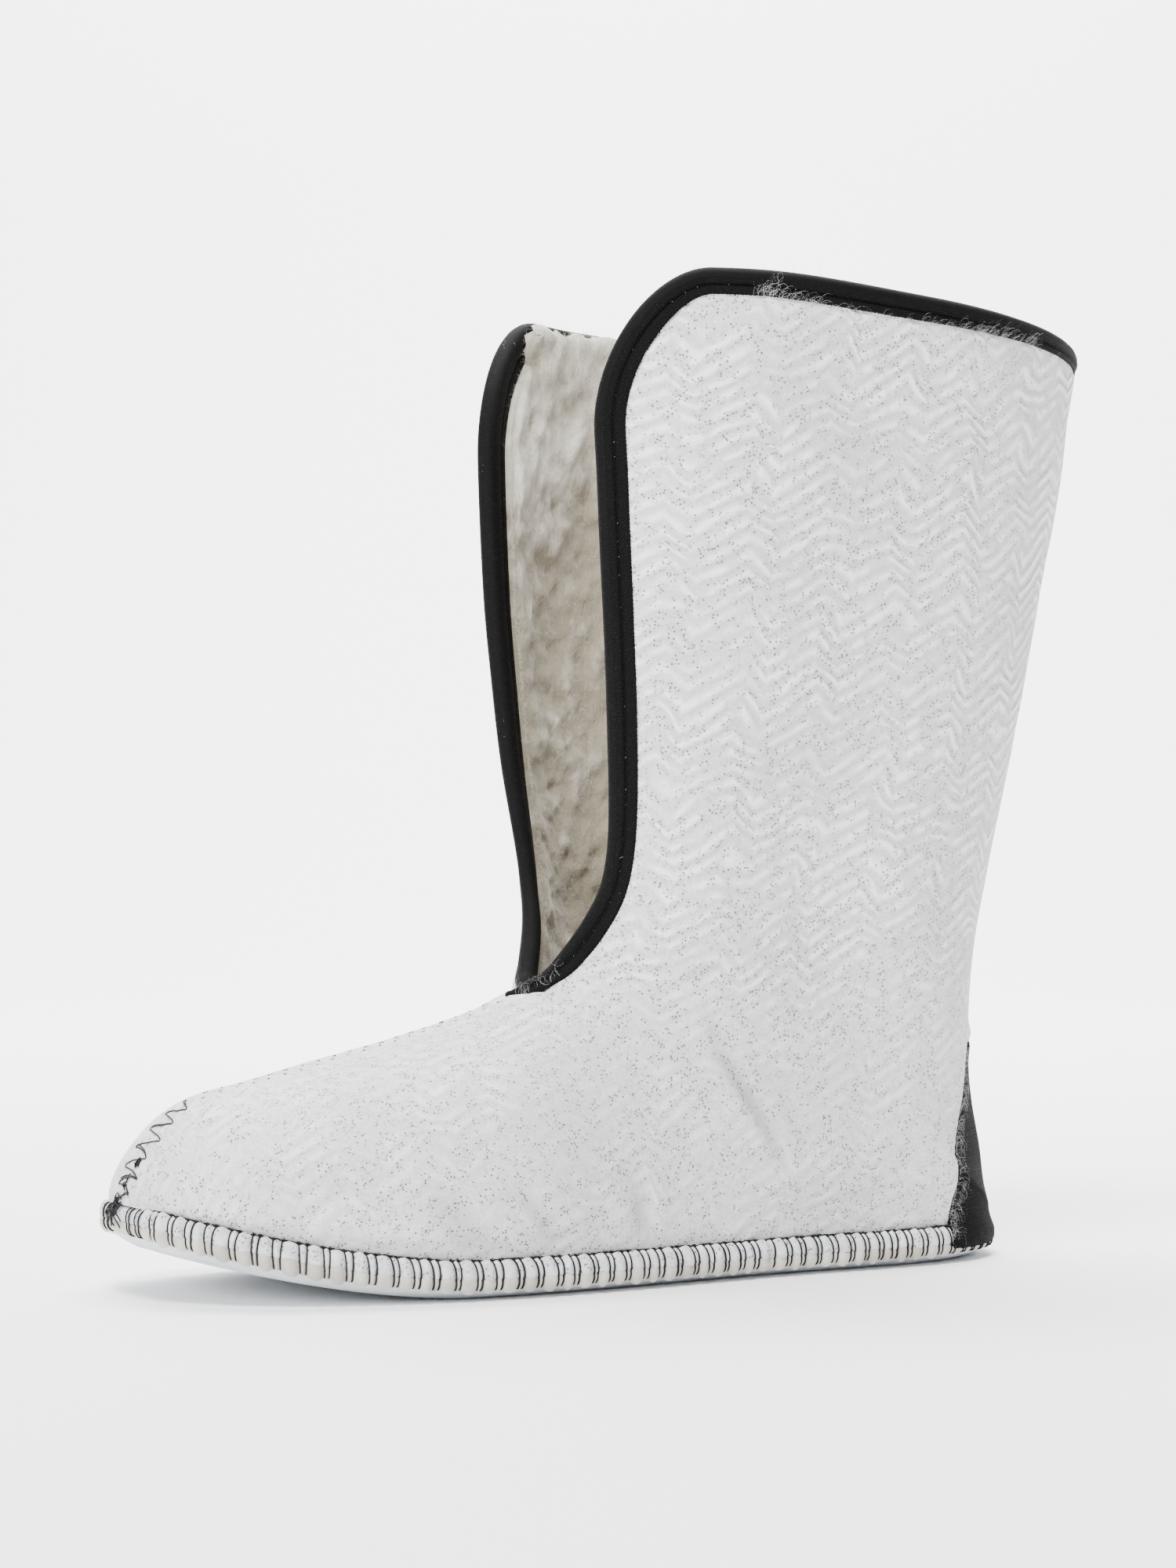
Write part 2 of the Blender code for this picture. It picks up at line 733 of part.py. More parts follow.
def bound_edge():
    """Places along the raw edge in u and v, from the throat up the slit and round the collar."""
    us, vs = upper_stations()
    slit_u, slit_v = us[FOOT_ROWS - 1:, -1], vs[FOOT_ROWS - 1:, -1]
    collar_us, collar_vs = us[-1, -2::-1], vs[-1, -2::-1]
    return np.concatenate([slit_u, collar_us]), np.concatenate([slit_v, collar_vs])


def derivatives(u, v, side, depth):
    h = 5e-4
    du = (surface(u + h, v, side, depth) - surface(u - h, v, side, depth)) / (2.0 * h)
    back = np.minimum(v - h, 1.0 - 2.0 * h)
    dv = (surface(u, back + 2.0 * h, side, depth) - surface(u, back, side, depth)) / (2.0 * h)
    return du, dv


def walk_from_edge(us, vs, side, distance, steps=5):
    """Places at a distance from the edge, square to it along the felt."""
    u, v = us.copy(), vs.copy()
    path = surface(us, vs, side)
    along = np.gradient(path, axis=0)
    along[0] = (0.0, side, 0.0)
    along[-1] = (0.0, -side, 0.0)
    along /= np.linalg.norm(along, axis=1)[:, None]
    for _ in range(steps):
        du, dv = derivatives(u, v, side, 0.0)
        normal = np.cross(du, dv) * side
        normal /= np.linalg.norm(normal, axis=1)[:, None]
        inward = np.cross(along, normal) * side
        inward /= np.linalg.norm(inward, axis=1)[:, None]
        move = inward * distance / steps
        guu, gvv, guv = (du * du).sum(1), (dv * dv).sum(1), (du * dv).sum(1)
        mu, mv = (move * du).sum(1), (move * dv).sum(1)
        det = np.maximum(guu * gvv - guv ** 2, 1e-12)
        u = u + (mu * gvv - mv * guv) / det
        v = v + (mv * guu - mu * guv) / det
    return u, v


def build_binding(material):
    """Woven tape folded over the raw edge, closed round collar and slit."""
    shell = Shell()
    halves = {}
    us, vs = bound_edge()
    for side in (1, -1):
        edge_out = surface(us, vs, side)
        edge_in = surface(us, vs, side, EDGE_WALL)
        middle = (edge_out + edge_in) / 2.0
        across = edge_out - edge_in
        across /= np.linalg.norm(across, axis=1)[:, None]
        near_u, near_v = walk_from_edge(us, vs, side, TAPE_THICKNESS, 1)
        away = surface(us, vs, side) - surface(near_u, near_v, side)
        away -= across * (away * across).sum(1)[:, None]
        away /= np.linalg.norm(away, axis=1)[:, None]
        legs = [walk_from_edge(us, vs, side, TAPE_WIDTH * share) for share in TAPE_LEGS]
        run = np.concatenate([[0.0], np.cumsum(np.linalg.norm(np.diff(edge_out, axis=0), axis=1))])
        bunch = TAPE_BUNCH * (1.0 - smooth(run / BUNCH_REACH))

        def outside(lift):
            return [surface(u, v, side, -lift - bunch) for u, v in legs]

        def inside(lift):
            return [surface(u, v, side, inner_depth(u, v) + lift + bunch) for u, v in legs]

        def cap(lift):
            """Fold over the edge, from the outer face round to the inner one."""
            radius = (EDGE_WALL / 2.0 + lift + bunch)[:, None]
            fold = [(radius * math.sin(a), radius * math.cos(a) * CAP_REACH) for a in np.radians(CAP_TURNS)]
            return [middle + across * over + away * (out + TAPE_GAP) for over, out in fold]

        far = TAPE_GAP + TAPE_THICKNESS
        skin = outside(far) + cap(far) + inside(far)[::-1]
        lining = inside(TAPE_GAP) + cap(TAPE_GAP)[::-1] + outside(TAPE_GAP)[::-1]
        halves[side] = np.array(skin + lining)
    rows, count, _ = halves[1].shape
    table = np.zeros((rows, 2 * count - 2), int)
    for r in range(rows):
        for k in range(count):
            point = halves[1][r, k].copy()
            if k in (0, count - 1):
                point[1] = swing(point[0])
            table[r, k] = shell.add(point)
        for k in range(1, count - 1):
            table[r, 2 * count - 2 - k] = shell.add(halves[-1][r, k])
    for r in range(rows):
        first = list(table[r]) + [table[r, 0]]
        second = list(table[(r + 1) % rows]) + [table[(r + 1) % rows, 0]]
        shell.faces.extend(strip(first, second))
    return add_object("collar_binding", shell.points, shell.faces, material)


def tree_of(objects):
    points, faces = [], []
    for obj in objects:
        base = len(points)
        points += [v.co.copy() for v in obj.data.vertices]
        faces += [[base + i for i in p.vertices] for p in obj.data.polygons]
    return BVHTree.FromPolygons(points, faces)


def build_patch(material, carriers):
    """Ribbed fabric over the back of the heel, lying on the felt and over the seam's lip."""
    tree = tree_of(carriers)
    axis_x = HEEL_WIDTH / 2.0

    def reach(angle, z):
        """Distance of the felt from an upright axis in the heel, zero where there is none."""
        way = Vector((-math.cos(angle), math.sin(angle), 0.0))
        start = Vector((axis_x, 0.0, max(z, PATCH_LOWEST))) + way * PATCH_RAY
        hit, _, _, distance = tree.ray_cast(start, -way)
        return 0.0 if hit is None else PATCH_RAY - distance

    heights = PATCH_FOOT + (PATCH_HEIGHT - PATCH_FOOT) * np.array(PATCH_RISES)
    around = np.linspace(-1.0, 1.0, PATCH_STEPS + 1)
    rises = np.array(PATCH_RISES) ** PATCH_NARROWING
    halves = PATCH_HALF_BOTTOM + (PATCH_HALF_TOP - PATCH_HALF_BOTTOM) * rises
    angles = around[None, :] * halves[:, None] / axis_x
    radii = np.zeros(angles.shape)
    for i, height in enumerate(heights):
        below = height - heights[max(i - 1, 0)]
        above = heights[min(i + 1, len(heights) - 1)] - height
        rises = [-below * share for share in PATCH_PROBES_DOWN] + [above * share for share in PATCH_PROBES_UP]
        turn = angles[i, 1] - angles[i, 0]
        for j in range(len(around)):
            spots = [(angles[i, j] + turn * share, height + rise)
                     for share in PATCH_PROBES_AROUND for rise in rises]
            radii[i, j] = max(reach(*spot) for spot in spots)

    shell = Shell()
    layers = []
    for extra in (PATCH_GAP, PATCH_GAP + PATCH_THICKNESS):
        grid = np.zeros(angles.shape, int)
        for i, height in enumerate(heights):
            for j in range(len(around)):
                radius = radii[i, j] + extra
                angle = angles[i, j]
                grid[i, j] = shell.add((axis_x - radius * math.cos(angle), radius * math.sin(angle), height))
        layers.append(grid)
    inner, outer = layers
    for i in range(len(heights) - 1):
        shell.faces.extend(strip(list(outer[i]), list(outer[i + 1]), flip=True))
        shell.faces.extend(strip(list(inner[i]), list(inner[i + 1])))

    def border(grid):
        edge = list(grid[0]) + list(grid[1:, -1]) + list(grid[-1, -2::-1]) + list(grid[-2:0:-1, 0])
        return edge + edge[:1]

    shell.faces.extend(strip(border(inner), border(outer), flip=True))
    return add_object("heel_patch", shell.points, shell.faces, material)


def main():
    for old in list(bpy.data.objects):
        bpy.data.objects.remove(old, do_unlink=True)
    felt = add_material("felt", (0.80, 0.81, 0.81), 0.95, 0.3)
    sole_felt = add_material("sole felt", (0.66, 0.69, 0.70), 0.95, 0.3)
    tape = add_material("black tape", (0.012, 0.012, 0.013), 0.7)
    patch_cloth = add_material("black patch cloth", (0.013, 0.013, 0.014), 0.8)
    upper = build_upper(felt)
    sole = build_sole(sole_felt)
    binding = build_binding(tape)
    patch = build_patch(patch_cloth, (upper, sole))
    pieces = (upper, sole, binding, patch)
    corners = np.array([v.co for obj in pieces for v in obj.data.vertices])
    low, high = corners.min(0), corners.max(0)
    shift = np.array([-(low[0] + high[0]) / 2.0, -(low[1] + high[1]) / 2.0, -low[2]])
    for obj in pieces:
        for vertex in obj.data.vertices:
            vertex.co = vertex.co + Vector(shift)


main()
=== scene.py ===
"""Looks of the felt liner of a winter boot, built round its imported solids.

Metres, in the frame of the solids: the toe points along +X, the outer side of the foot is +Y and
+Z is up. The felt's outer face is drawn again here, more finely, from the tables of the solids.
"""

import itertools
import math

import bpy
import numpy as np
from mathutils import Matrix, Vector
from mathutils.bvhtree import BVHTree


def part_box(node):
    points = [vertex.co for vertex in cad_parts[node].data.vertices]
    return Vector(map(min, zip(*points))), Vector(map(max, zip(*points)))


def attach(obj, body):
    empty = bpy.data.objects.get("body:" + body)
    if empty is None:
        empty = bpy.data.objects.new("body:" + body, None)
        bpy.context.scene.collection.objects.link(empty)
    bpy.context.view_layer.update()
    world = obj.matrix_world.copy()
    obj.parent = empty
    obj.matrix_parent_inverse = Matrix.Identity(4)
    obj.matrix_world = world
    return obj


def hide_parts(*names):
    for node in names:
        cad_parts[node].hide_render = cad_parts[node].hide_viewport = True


bl_info = {
    "name": "Felt boot liner",
    "version": (1, 0, 0),
    "blender": (4, 5, 0),
    "location": "3D View > Sidebar > Liner",
    "description": "Builds the felt liner of a winter boot with its pile, tape, seams and heel patch",
    "category": "Object",
}

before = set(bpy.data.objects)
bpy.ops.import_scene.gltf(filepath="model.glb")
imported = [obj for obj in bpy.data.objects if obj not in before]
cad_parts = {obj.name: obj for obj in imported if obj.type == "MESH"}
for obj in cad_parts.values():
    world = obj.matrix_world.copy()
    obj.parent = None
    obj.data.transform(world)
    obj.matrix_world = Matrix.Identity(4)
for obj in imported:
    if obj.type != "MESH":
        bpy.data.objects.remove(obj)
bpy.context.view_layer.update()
MM = 0.001

# The outer side of the foot and the inner one
SIDES = (1, -1)

# Sizes of the solids
SOLE_LENGTH = 0.2835
BALL_WIDTH = 0.104
HEEL_WIDTH = 0.074
TOE_SWING = 0.006
TOE_SPRING = 0.0155
SPRING_START = 0.195
SPRING_POWER = 1.7
RIM_HEIGHT = 0.0037
PUFF = 0.0025
PUFF_WIDTH = 0.0095
INSTEP_HEIGHT = 0.084
THROAT_X = 0.1578
LIP_HEIGHT = 0.0046
LIP_WIDTH = 0.0018
SIDE_BULGE = 0.0022
COLLAR_HEIGHT = 0.2890
COLLAR_DROP = 0.0130
COLLAR_CROWN = 0.0022
ANKLE_WIDTH = 0.084
SHAFT_WIDTH = 0.129
BACK_LEAN = 0.0260
SLIT_GAP = 0.078
SLIT_SETBACK = 0.0124
CORNER_RADIUS = 0.044
WALL = 0.006
EDGE_WALL = 0.0036
TAPE_WIDTH = 0.0062
PATCH_HEIGHT = 0.0655
PATCH_FOOT = 0.0028
PATCH_HALF_BOTTOM = 0.054
PATCH_HALF_TOP = 0.030
PATCH_NARROWING = 3.2
WIDEST_V = 0.4
OWN_FROM = 0.42
OWN_TO = 0.72
BACK_EASE = 0.04
SEAM_Z = PUFF + RIM_HEIGHT
LIP_TOP = SEAM_Z + LIP_HEIGHT
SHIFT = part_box("upper")[1][0] - SOLE_LENGTH

WIDTHS = {"ball": BALL_WIDTH, "heel": HEEL_WIDTH}

# Half outline of the sole, toe to heel: share of the length, shares of half the ball's or heel's
# width on the outer and the inner side
OUTLINE = (
    (1.000, 0.000, 0.000, "ball"),
    (0.985, 0.400, 0.385, "ball"),
    (0.935, 0.690, 0.670, "ball"),
    (0.850, 0.885, 0.880, "ball"),
    (0.740, 0.985, 0.985, "ball"),
    (0.620, 0.985, 0.930, "ball"),
    (0.480, 0.895, 0.790, "ball"),
    (0.330, 1.090, 0.985, "heel"),
    (0.190, 1.010, 0.975, "heel"),
    (0.090, 0.865, 0.850, "heel"),
    (0.022, 0.480, 0.480, "heel"),
    (0.000, 0.000, 0.000, "heel"),
)

# Crest of the vamp, toe to throat: share of the way back, and of the rise to the instep
CREST = (
    (0.000, 0.000),
    (0.030, 0.155),
    (0.085, 0.335),
    (0.165, 0.475),
    (0.300, 0.555),
    (0.480, 0.650),
    (0.660, 0.752),
    (0.840, 0.865),
    (1.000, 1.000),
)

# Edge of the slit, throat to collar: share of the rise, of the setback and of half the gap
SLIT = (
    (0.000, 0.000, 0.000),
    (0.016, 0.170, 0.190),
    (0.050, 0.470, 0.350),
    (0.098, 0.810, 0.530),
    (0.152, 1.000, 0.700),
    (0.230, 0.990, 0.820),
    (0.320, 0.850, 0.905),
    (0.440, 0.690, 0.965),
    (0.565, 0.530, 1.000),
    (0.690, 0.420, 1.005),
    (0.810, 0.330, 0.990),
    (1.000, 0.200, 0.960),
)

# Back seam, heel to collar: share of the rise above the sole seam, and of the lean, forward plus
BACK = (
    (0.000, 0.080),
    (0.048, 0.190),
    (0.105, 0.320),
    (0.160, 0.400),
    (0.215, 0.415),
    (0.290, 0.375),
    (0.370, 0.245),
    (0.480, 0.000),
    (0.590, -0.240),
    (0.700, -0.450),
    (0.860, -0.800),
    (1.000, -1.000),
)

# Fan of sections from the toe round to the collar, as in the solids: lower and upper end, half
# width, place of the widest point and turn at the upper end in degrees
SECTIONS = (
    (0.000, 0.000, 0.90, 0.12, 90),
    (0.070, 0.110, 0.90, 0.13, 90),
    (0.140, 0.230, 0.92, 0.14, 90),
    (0.220, 0.370, 0.94, 0.15, 90),
    (0.310, 0.530, 0.96, 0.17, 90),
    (0.410, 0.700, 0.97, 0.20, 90),
    (0.520, 0.870, 0.97, 0.23, 90),
    (0.640, 1.000, 0.96, 0.26, 90),
    (0.770, 1.055, 0.95, 0.29, 73),
    (0.880, 1.105, 0.94, 0.31, 63),
    (0.955, 1.150, 0.94, 0.33, 58),
    (1.000, 1.195, 0.95, 0.35, 54),
    (1.100, 1.250, 0.98, 0.37, 51),
    (1.210, 1.310, 1.03, 0.39, 48),
    (1.330, 1.390, 1.12, 0.41, 45),
    (1.470, 1.500, 1.23, 0.43, 43),
    (1.620, 1.630, 1.34, 0.45, 41),
    (1.780, 1.780, 1.42, 0.46, 40),
    (2.000, 2.000, 1.48, 0.47, 39),
)
THROAT_ROW = 7
HEEL_ROW = 11

# Rows of the fine net over the felt, from the toe to the throat, to the heel and to the collar
FELT_NET = ((172, 80, 164), 104)
PILE_NET = ((110, 56, 180), 96)
TOE_CROWDING = 1.15

# How far the band of the seam draws in at the tip of the toe, and over what length along the edge
TOE_TUCK = 1.8 * MM
TOE_TUCK_REACH = 34.0 * MM

# On the cut cloth, in millimetres: how far apart the two halves lie, the lip's depth, and its step
# along the edge
HALVES_APART = 400.0
LIP_DEPTH = 6.0
LIP_STEP = 0.34

# Creases pressed into the felt: side, width and depth in millimetres, places along it in u and v
CREASES = (
    (1, 2.3, 2.3, ((0.501, 0.711), (0.470, 0.623), (0.456, 0.556), (0.448, 0.510), (0.440, 0.460),
                   (0.428, 0.400))),
    (1, 2.0, 0.8, ((0.523, 0.790), (0.558, 0.772), (0.610, 0.745))),
    (1, 1.8, 0.6, ((0.500, 0.840), (0.545, 0.825), (0.590, 0.800))),
    (1, 4.6, 1.2, ((0.220, 0.490), (0.234, 0.410), (0.250, 0.090))),
    (1, 3.4, 1.6, ((0.272, 0.450), (0.279, 0.351), (0.285, 0.070))),
    (1, 3.6, 1.6, ((0.340, 0.440), (0.334, 0.289), (0.330, 0.020))),
    (1, 8.0, 1.3, ((0.640, 0.300), (0.620, 0.200), (0.610, 0.060))),
    (-1, 4.2, 2.2, ((0.510, 0.730), (0.480, 0.620), (0.455, 0.520), (0.436, 0.410))),
    (-1, 4.2, 1.5, ((0.255, 0.480), (0.266, 0.350), (0.272, 0.090))),
    (-1, 4.6, 1.2, ((0.330, 0.430), (0.324, 0.270), (0.318, 0.030))),
    (-1, 8.0, 1.3, ((0.650, 0.320), (0.628, 0.200), (0.612, 0.060))),
)

# Places along each crease, and how far from its middle it can still be felt
CREASE_STEPS = 36
CREASE_REACH = 0.12

# Soft lumps of the felt: size and height of each kind
FELT_LUMPS = ((21.0 * MM, 0.30 * MM), (8.5 * MM, 0.14 * MM))

# How far the felt puffs up beside the tape and the heel patch, and is pressed in under the patch,
# along the vamp's seam and down the back seam
PUFF_BY_TAPE = 0.95 * MM
PUFF_BY_PATCH = 0.9 * MM
PRESSED_BY_PATCH = 0.7 * MM
CREST_GROOVE = 0.55 * MM
BACK_GROOVE = 0.35 * MM

# Tufts of the pile: shift that sets each kind apart, size, stretch upward and share of the height
TUFTS = ((0.0, 10.0 * MM, 1.5, 0.5), (0.031, 4.6 * MM, 1.4, 0.34), (0.057, 2.2 * MM, 1.6, 0.2))

# Profile of the lip over the sole seam, downward, in millimetres: out from the sole's edge, up
LIP_PROFILE = (
    (-1.8, 10.8), (-1.25, 10.75), (-0.55, 10.3), (0.0, 9.5), (0.32, 8.5), (0.42, 7.5), (0.4, 6.7),
    (0.3, 6.2), (-0.5, 6.05),
)

# Profile of the sole's rim below it and of its underside as far as the flat
RIM_PROFILE = (
    (-0.9, 6.3), (-0.1, 6.15), (0.2, 5.75), (0.38, 5.1), (0.35, 4.4), (0.1, 3.75), (-0.35, 3.25),
    (-0.9, 2.95), (-1.3, 2.65), (-1.9, 2.35), (-2.6, 2.1), (-3.0, 1.9),
)

# Tape across its width: share of the width from the raw edge, and lift off the felt in millimetres
TAPE_PROFILE = (
    (0.05, 1.40), (0.13, 1.48), (0.22, 1.50), (0.31, 1.42), (0.38, 1.20), (0.42, 0.72), (0.455, 0.52),
    (0.49, 0.75), (0.55, 0.98), (0.63, 1.04), (0.72, 1.02), (0.82, 1.0), (0.90, 1.0), (0.96, 0.9),
    (0.99, 0.62), (1.0, 0.1),
)
FOLD_TURNS = (78, 55, 32, 10, -12, -34, -56, -78)

# Width of the tape's inner border against the outer one, and the tail of its near end past the slit
TAPE_INSIDE = 1.14
TAPE_TAIL = 5.0 * MM
TAPE_TAIL_FROM = 12.0 * MM

# Ends of the foot's spine, as shares of the sole's length from the heel
SPINE_TOE = 0.86
SPINE_HEEL = 0.12

# Where the pairs of strands begin behind the tip of the toe
FIRST_STITCH = 9.0 * MM

# Where the rim's profile ends on the underside, and steps along half the edge of the inner sole
RIM_INSET = 3.0 * MM
INSOLE_STEPS = 170

# Fibres shown on each half of the pile
PILE_FIBRES = 8000

# Tangles of the vamp seam: place along the crest, place beside it and size in millimetres, threads
TOE_KNOTS = ((0.8, 0.6, 3.2, 7), (4.6, 1.0, 2.8, 3), (11.0, 2.2, 1.9, 9))

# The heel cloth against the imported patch: how much wider at its top, and narrower all round
PATCH_SPREAD = 8.0 * MM
PATCH_TRIM = 1.5 * MM

# Net of the heel cloth, up the heel and round it, the axis it goes round, how often its net is
# evened out until it is taut, and how far its border is turned in
PATCH_ROWS = 96
PATCH_COLUMNS = 112
HEEL_AXIS = HEEL_WIDTH / 2.0
TAUT_PASSES = 90
PATCH_TURNED_IN = 1.2 * MM

# The camera looks level, from 1 m away, past a place this far ahead of the heel of the sole
LOOK = (-0.469, -0.883)
LOOKED_AT = 0.1381
CAMERA_HEIGHT = 0.116
CAMERA_LENS = 77.6
CAMERA_SHIFT = 0.0605

# The floor runs from before the boot to behind it and bends up into a backdrop
FLOOR_FRONT = 6.0
FLOOR_BACK = -2.2
FLOOR_SIDE = 8.0
BACKDROP_HEIGHT = 6.0

# Lights: name, place, what it is turned to, size, power and colour; and the light of the room
LIGHTS = (
    ("key", (0.75, 0.95, 2.1), (0.0, 0.0, 0.12), 0.7, 88.0, (1.0, 0.998, 0.99)),
    ("left", (1.7, 0.75, 0.7), (0.0, 0.0, 0.12), 0.9, 34.0, (1.0, 0.995, 0.985)),
    ("backdrop", (-0.6, -1.1, 2.8), (-1.4, -2.7, 0.9), 2.6, 440.0, (1.0, 1.0, 1.0)),
)
ROOM_COLOR = (0.985, 0.99, 1.0, 1.0)
ROOM_STRENGTH = 0.42

# Steps along half the sole's edge, and shares of the strands' way down over the lip and the rim
BAND_STEPS = 920
LIP_DOWN = tuple(0.56 * k / 12 for k in range(13))
RIM_DOWN = tuple(0.54 + 0.46 * k / 15 for k in range(16))


def smooth(t):
    """Soft step from 0 at 0 to 1 at 1."""
    t = np.clip(t, 0.0, 1.0)
    return t * t * (3.0 - 2.0 * t)


def natural_spline(knots, values, start=None, end=None):
    """Cubic spline; a given start or end slope clamps it, otherwise that end is free."""
    knots = np.asarray(knots, float)
    values = np.asarray(values, float)
    n = len(knots)
    gaps = np.diff(knots)
    slopes = np.diff(values) / gaps
    matrix = np.zeros((n, n))
    right = np.zeros(n)
    for k in range(1, n - 1):
        matrix[k, k - 1] = gaps[k]
        matrix[k, k] = 2.0 * (gaps[k - 1] + gaps[k])
        matrix[k, k + 1] = gaps[k - 1]
        right[k] = 3.0 * (gaps[k] * slopes[k - 1] + gaps[k - 1] * slopes[k])
    if start is None:
        matrix[0, 0], matrix[0, 1], right[0] = 2.0, 1.0, 3.0 * slopes[0]
    else:
        matrix[0, 0], right[0] = 1.0, start
    if end is None:
        matrix[-1, -1], matrix[-1, -2], right[-1] = 2.0, 1.0, 3.0 * slopes[-1]
    else:
        matrix[-1, -1], right[-1] = 1.0, end
    return hermite(knots, values, np.linalg.solve(matrix, right))


def monotone(knots, values):
    """Cubic through the values that never swings past them."""
    knots = np.asarray(knots, float)
    values = np.asarray(values, float)
    slopes = np.diff(values) / np.diff(knots)
    tangents = np.zeros(len(values))
    for k in range(1, len(values) - 1):
        before, after = slopes[k - 1], slopes[k]
        if before * after > 0.0:
            tangents[k] = 2.0 * before * after / (before + after)
    tangents[0], tangents[-1] = slopes[0], slopes[-1]
    return hermite(knots, values, tangents)


def hermite(knots, values, tangents):
    """Cubic through the values with the given slopes there."""
    gaps = np.diff(knots)

    def value(t):
        t = np.asarray(t, float)
        k = np.clip(np.searchsorted(knots, t, side="right") - 1, 0, len(gaps) - 1)
        h = gaps[k]
        f = (t - knots[k]) / h
        a = values[k] * (1.0 + 2.0 * f) * (1.0 - f) ** 2 + values[k + 1] * f * f * (3.0 - 2.0 * f)
        return a + h * (tangents[k] * f * (1.0 - f) ** 2 - tangents[k + 1] * f * f * (1.0 - f))

    return value


def run_lengths(points):
    """Length along a run of points, up to each of them."""
    return np.concatenate([[0.0], np.cumsum(np.linalg.norm(np.diff(points, axis=0), axis=1))])


def chord_shares(points):
    """Share of the way along a run of points, by the lengths between them."""
    lengths = run_lengths(points)
    return lengths / lengths[-1]


def unit(vectors):
    """The same directions with length 1."""
    return vectors / np.maximum(np.linalg.norm(vectors, axis=-1, keepdims=True), 1e-12)


def spring(x):
    """Height by which the sole lifts toward the toe."""
    ahead = np.clip((x - SPRING_START) / (SOLE_LENGTH - SPRING_START), 0.0, None)
    return TOE_SPRING * ahead ** SPRING_POWER


def swing(x):
    """Sideways curve of the last toward the big toe."""
    return -TOE_SWING * np.clip((x - THROAT_X) / (SOLE_LENGTH - THROAT_X), 0.0, None) ** 2


def make_outline(side):
    """Curves of one half outline of the sole: along the foot and across it."""
    xs, outer, inner = np.array([row[:3] for row in OUTLINE]).T
    widths = np.array([WIDTHS[row[3]] for row in OUTLINE])
    halves = (outer if side == 1 else inner) * widths / 2.0
    points = np.stack([xs * SOLE_LENGTH, halves], -1)
    knots = chord_shares(points)
    length = run_lengths(points)[-1]
    along = natural_spline(knots, points[:, 0], 0.0, 0.0)
    across = natural_spline(knots, points[:, 1], length, -length)
    return along, across


OUTLINES = {side: make_outline(side) for side in SIDES}


def outline_point(t, side, inset):
    """Point of the sole's edge and its direction toward the toe, half width counted positive."""
    along, across = OUTLINES[side]
    h = 1e-4
    t = np.clip(t, 0.0, 1.0)
    low, high = np.maximum(t - h, 0.0), np.minimum(t + h, 1.0)
    dx = along(low) - along(high)
    dy = across(low) - across(high)
    ends = (t <= 0.0) | (t >= 1.0)
    dx = np.where(ends, 0.0, dx)
    size = np.hypot(dx, dy)
    dx, dy = dx / size, dy / size
    return along(t) + dy * inset, across(t) - dx * inset, dx, dy


def make_crest():
    """Curves of the vamp's crest, x and z."""
    back, rise = np.array(CREST).T
    toe_x = SOLE_LENGTH - LIP_WIDTH
    toe_z = LIP_TOP + TOE_SPRING
    points = np.stack([toe_x + (THROAT_X - toe_x) * back, toe_z + (INSTEP_HEIGHT - toe_z) * rise], -1)
    knots = chord_shares(points)
    return natural_spline(knots, points[:, 0]), natural_spline(knots, points[:, 1])


def make_slit():
    """Curves of the slit's edge, x, y and z."""
    rise, setback, gap = np.array(SLIT).T
    z = INSTEP_HEIGHT + (COLLAR_HEIGHT - INSTEP_HEIGHT) * rise
    x = THROAT_X - SLIT_SETBACK * setback
    y = SLIT_GAP / 2.0 * gap
    knots = chord_shares(np.stack([x, y, z], -1))
    return natural_spline(knots, x), monotone(knots, y), natural_spline(knots, z)


def make_back():
    """Curves of the back seam, x and z."""
    rise, lean = np.array(BACK).T
    z = LIP_TOP + (COLLAR_HEIGHT - COLLAR_DROP - LIP_TOP) * rise
    x = BACK_LEAN * lean
    x[0] = LIP_WIDTH
    return natural_spline(rise, x), natural_spline(rise, z)


# The curves of the solids, read from the tables
CREST_X, CREST_Z = make_crest()
SLIT_X, SLIT_Y, SLIT_Z = make_slit()
BACK_X, BACK_Z = make_back()

ROWS = np.linspace(0.0, 1.0, len(SECTIONS))
U_THROAT = ROWS[THROAT_ROW]
U_HEEL = ROWS[HEEL_ROW]
LOWS, TOPS, HALVES, WIDEST, TURNS = np.array(SECTIONS).T
LOW = monotone(ROWS, LOWS)
TOP = monotone(ROWS, TOPS)
AT = natural_spline(ROWS, WIDEST)
TURN = monotone(ROWS, TURNS)


def half_widths():
    """Widest half width of each section: the ankle's share, opening to the shaft's at the top."""
    full = HALVES[-1]
    opening = np.clip((HALVES - 1.0) / (full - 1.0), 0.0, 1.0)
    return HALVES * ANKLE_WIDTH / 2.0 + opening * (SHAFT_WIDTH / 2.0 - full * ANKLE_WIDTH / 2.0)


HALF = natural_spline(ROWS, half_widths())

# Share of a Bezier handle that rounds a corner like a circle
ROUND = 0.5523


def low_end(t, side, depth):
    """Lower end of a section, depth under the outer face: sole edge first, then the back seam."""
    x, y, dx, dy = outline_point(t, side, LIP_WIDTH + depth)
    z = LIP_TOP + spring(x)
    share = np.clip(t - 1.0, 0.0, 1.0)
    h = 1e-4
    bx, bz = BACK_X(share), BACK_Z(share)
    tx, tz = BACK_X(share + h) - BACK_X(share - h), BACK_Z(share + h) - BACK_Z(share - h)
    size = np.hypot(tx, tz)
    ease = smooth(share / BACK_EASE)
    nx, nz = tz / size, -tx / size * ease
    up = t > 1.0
    return (np.where(up, bx + nx * depth, x), np.where(up, 0.0, y), np.where(up, bz + nz * depth, z),
            np.where(up, 0.0, dx), np.where(up, 1.0, dy))


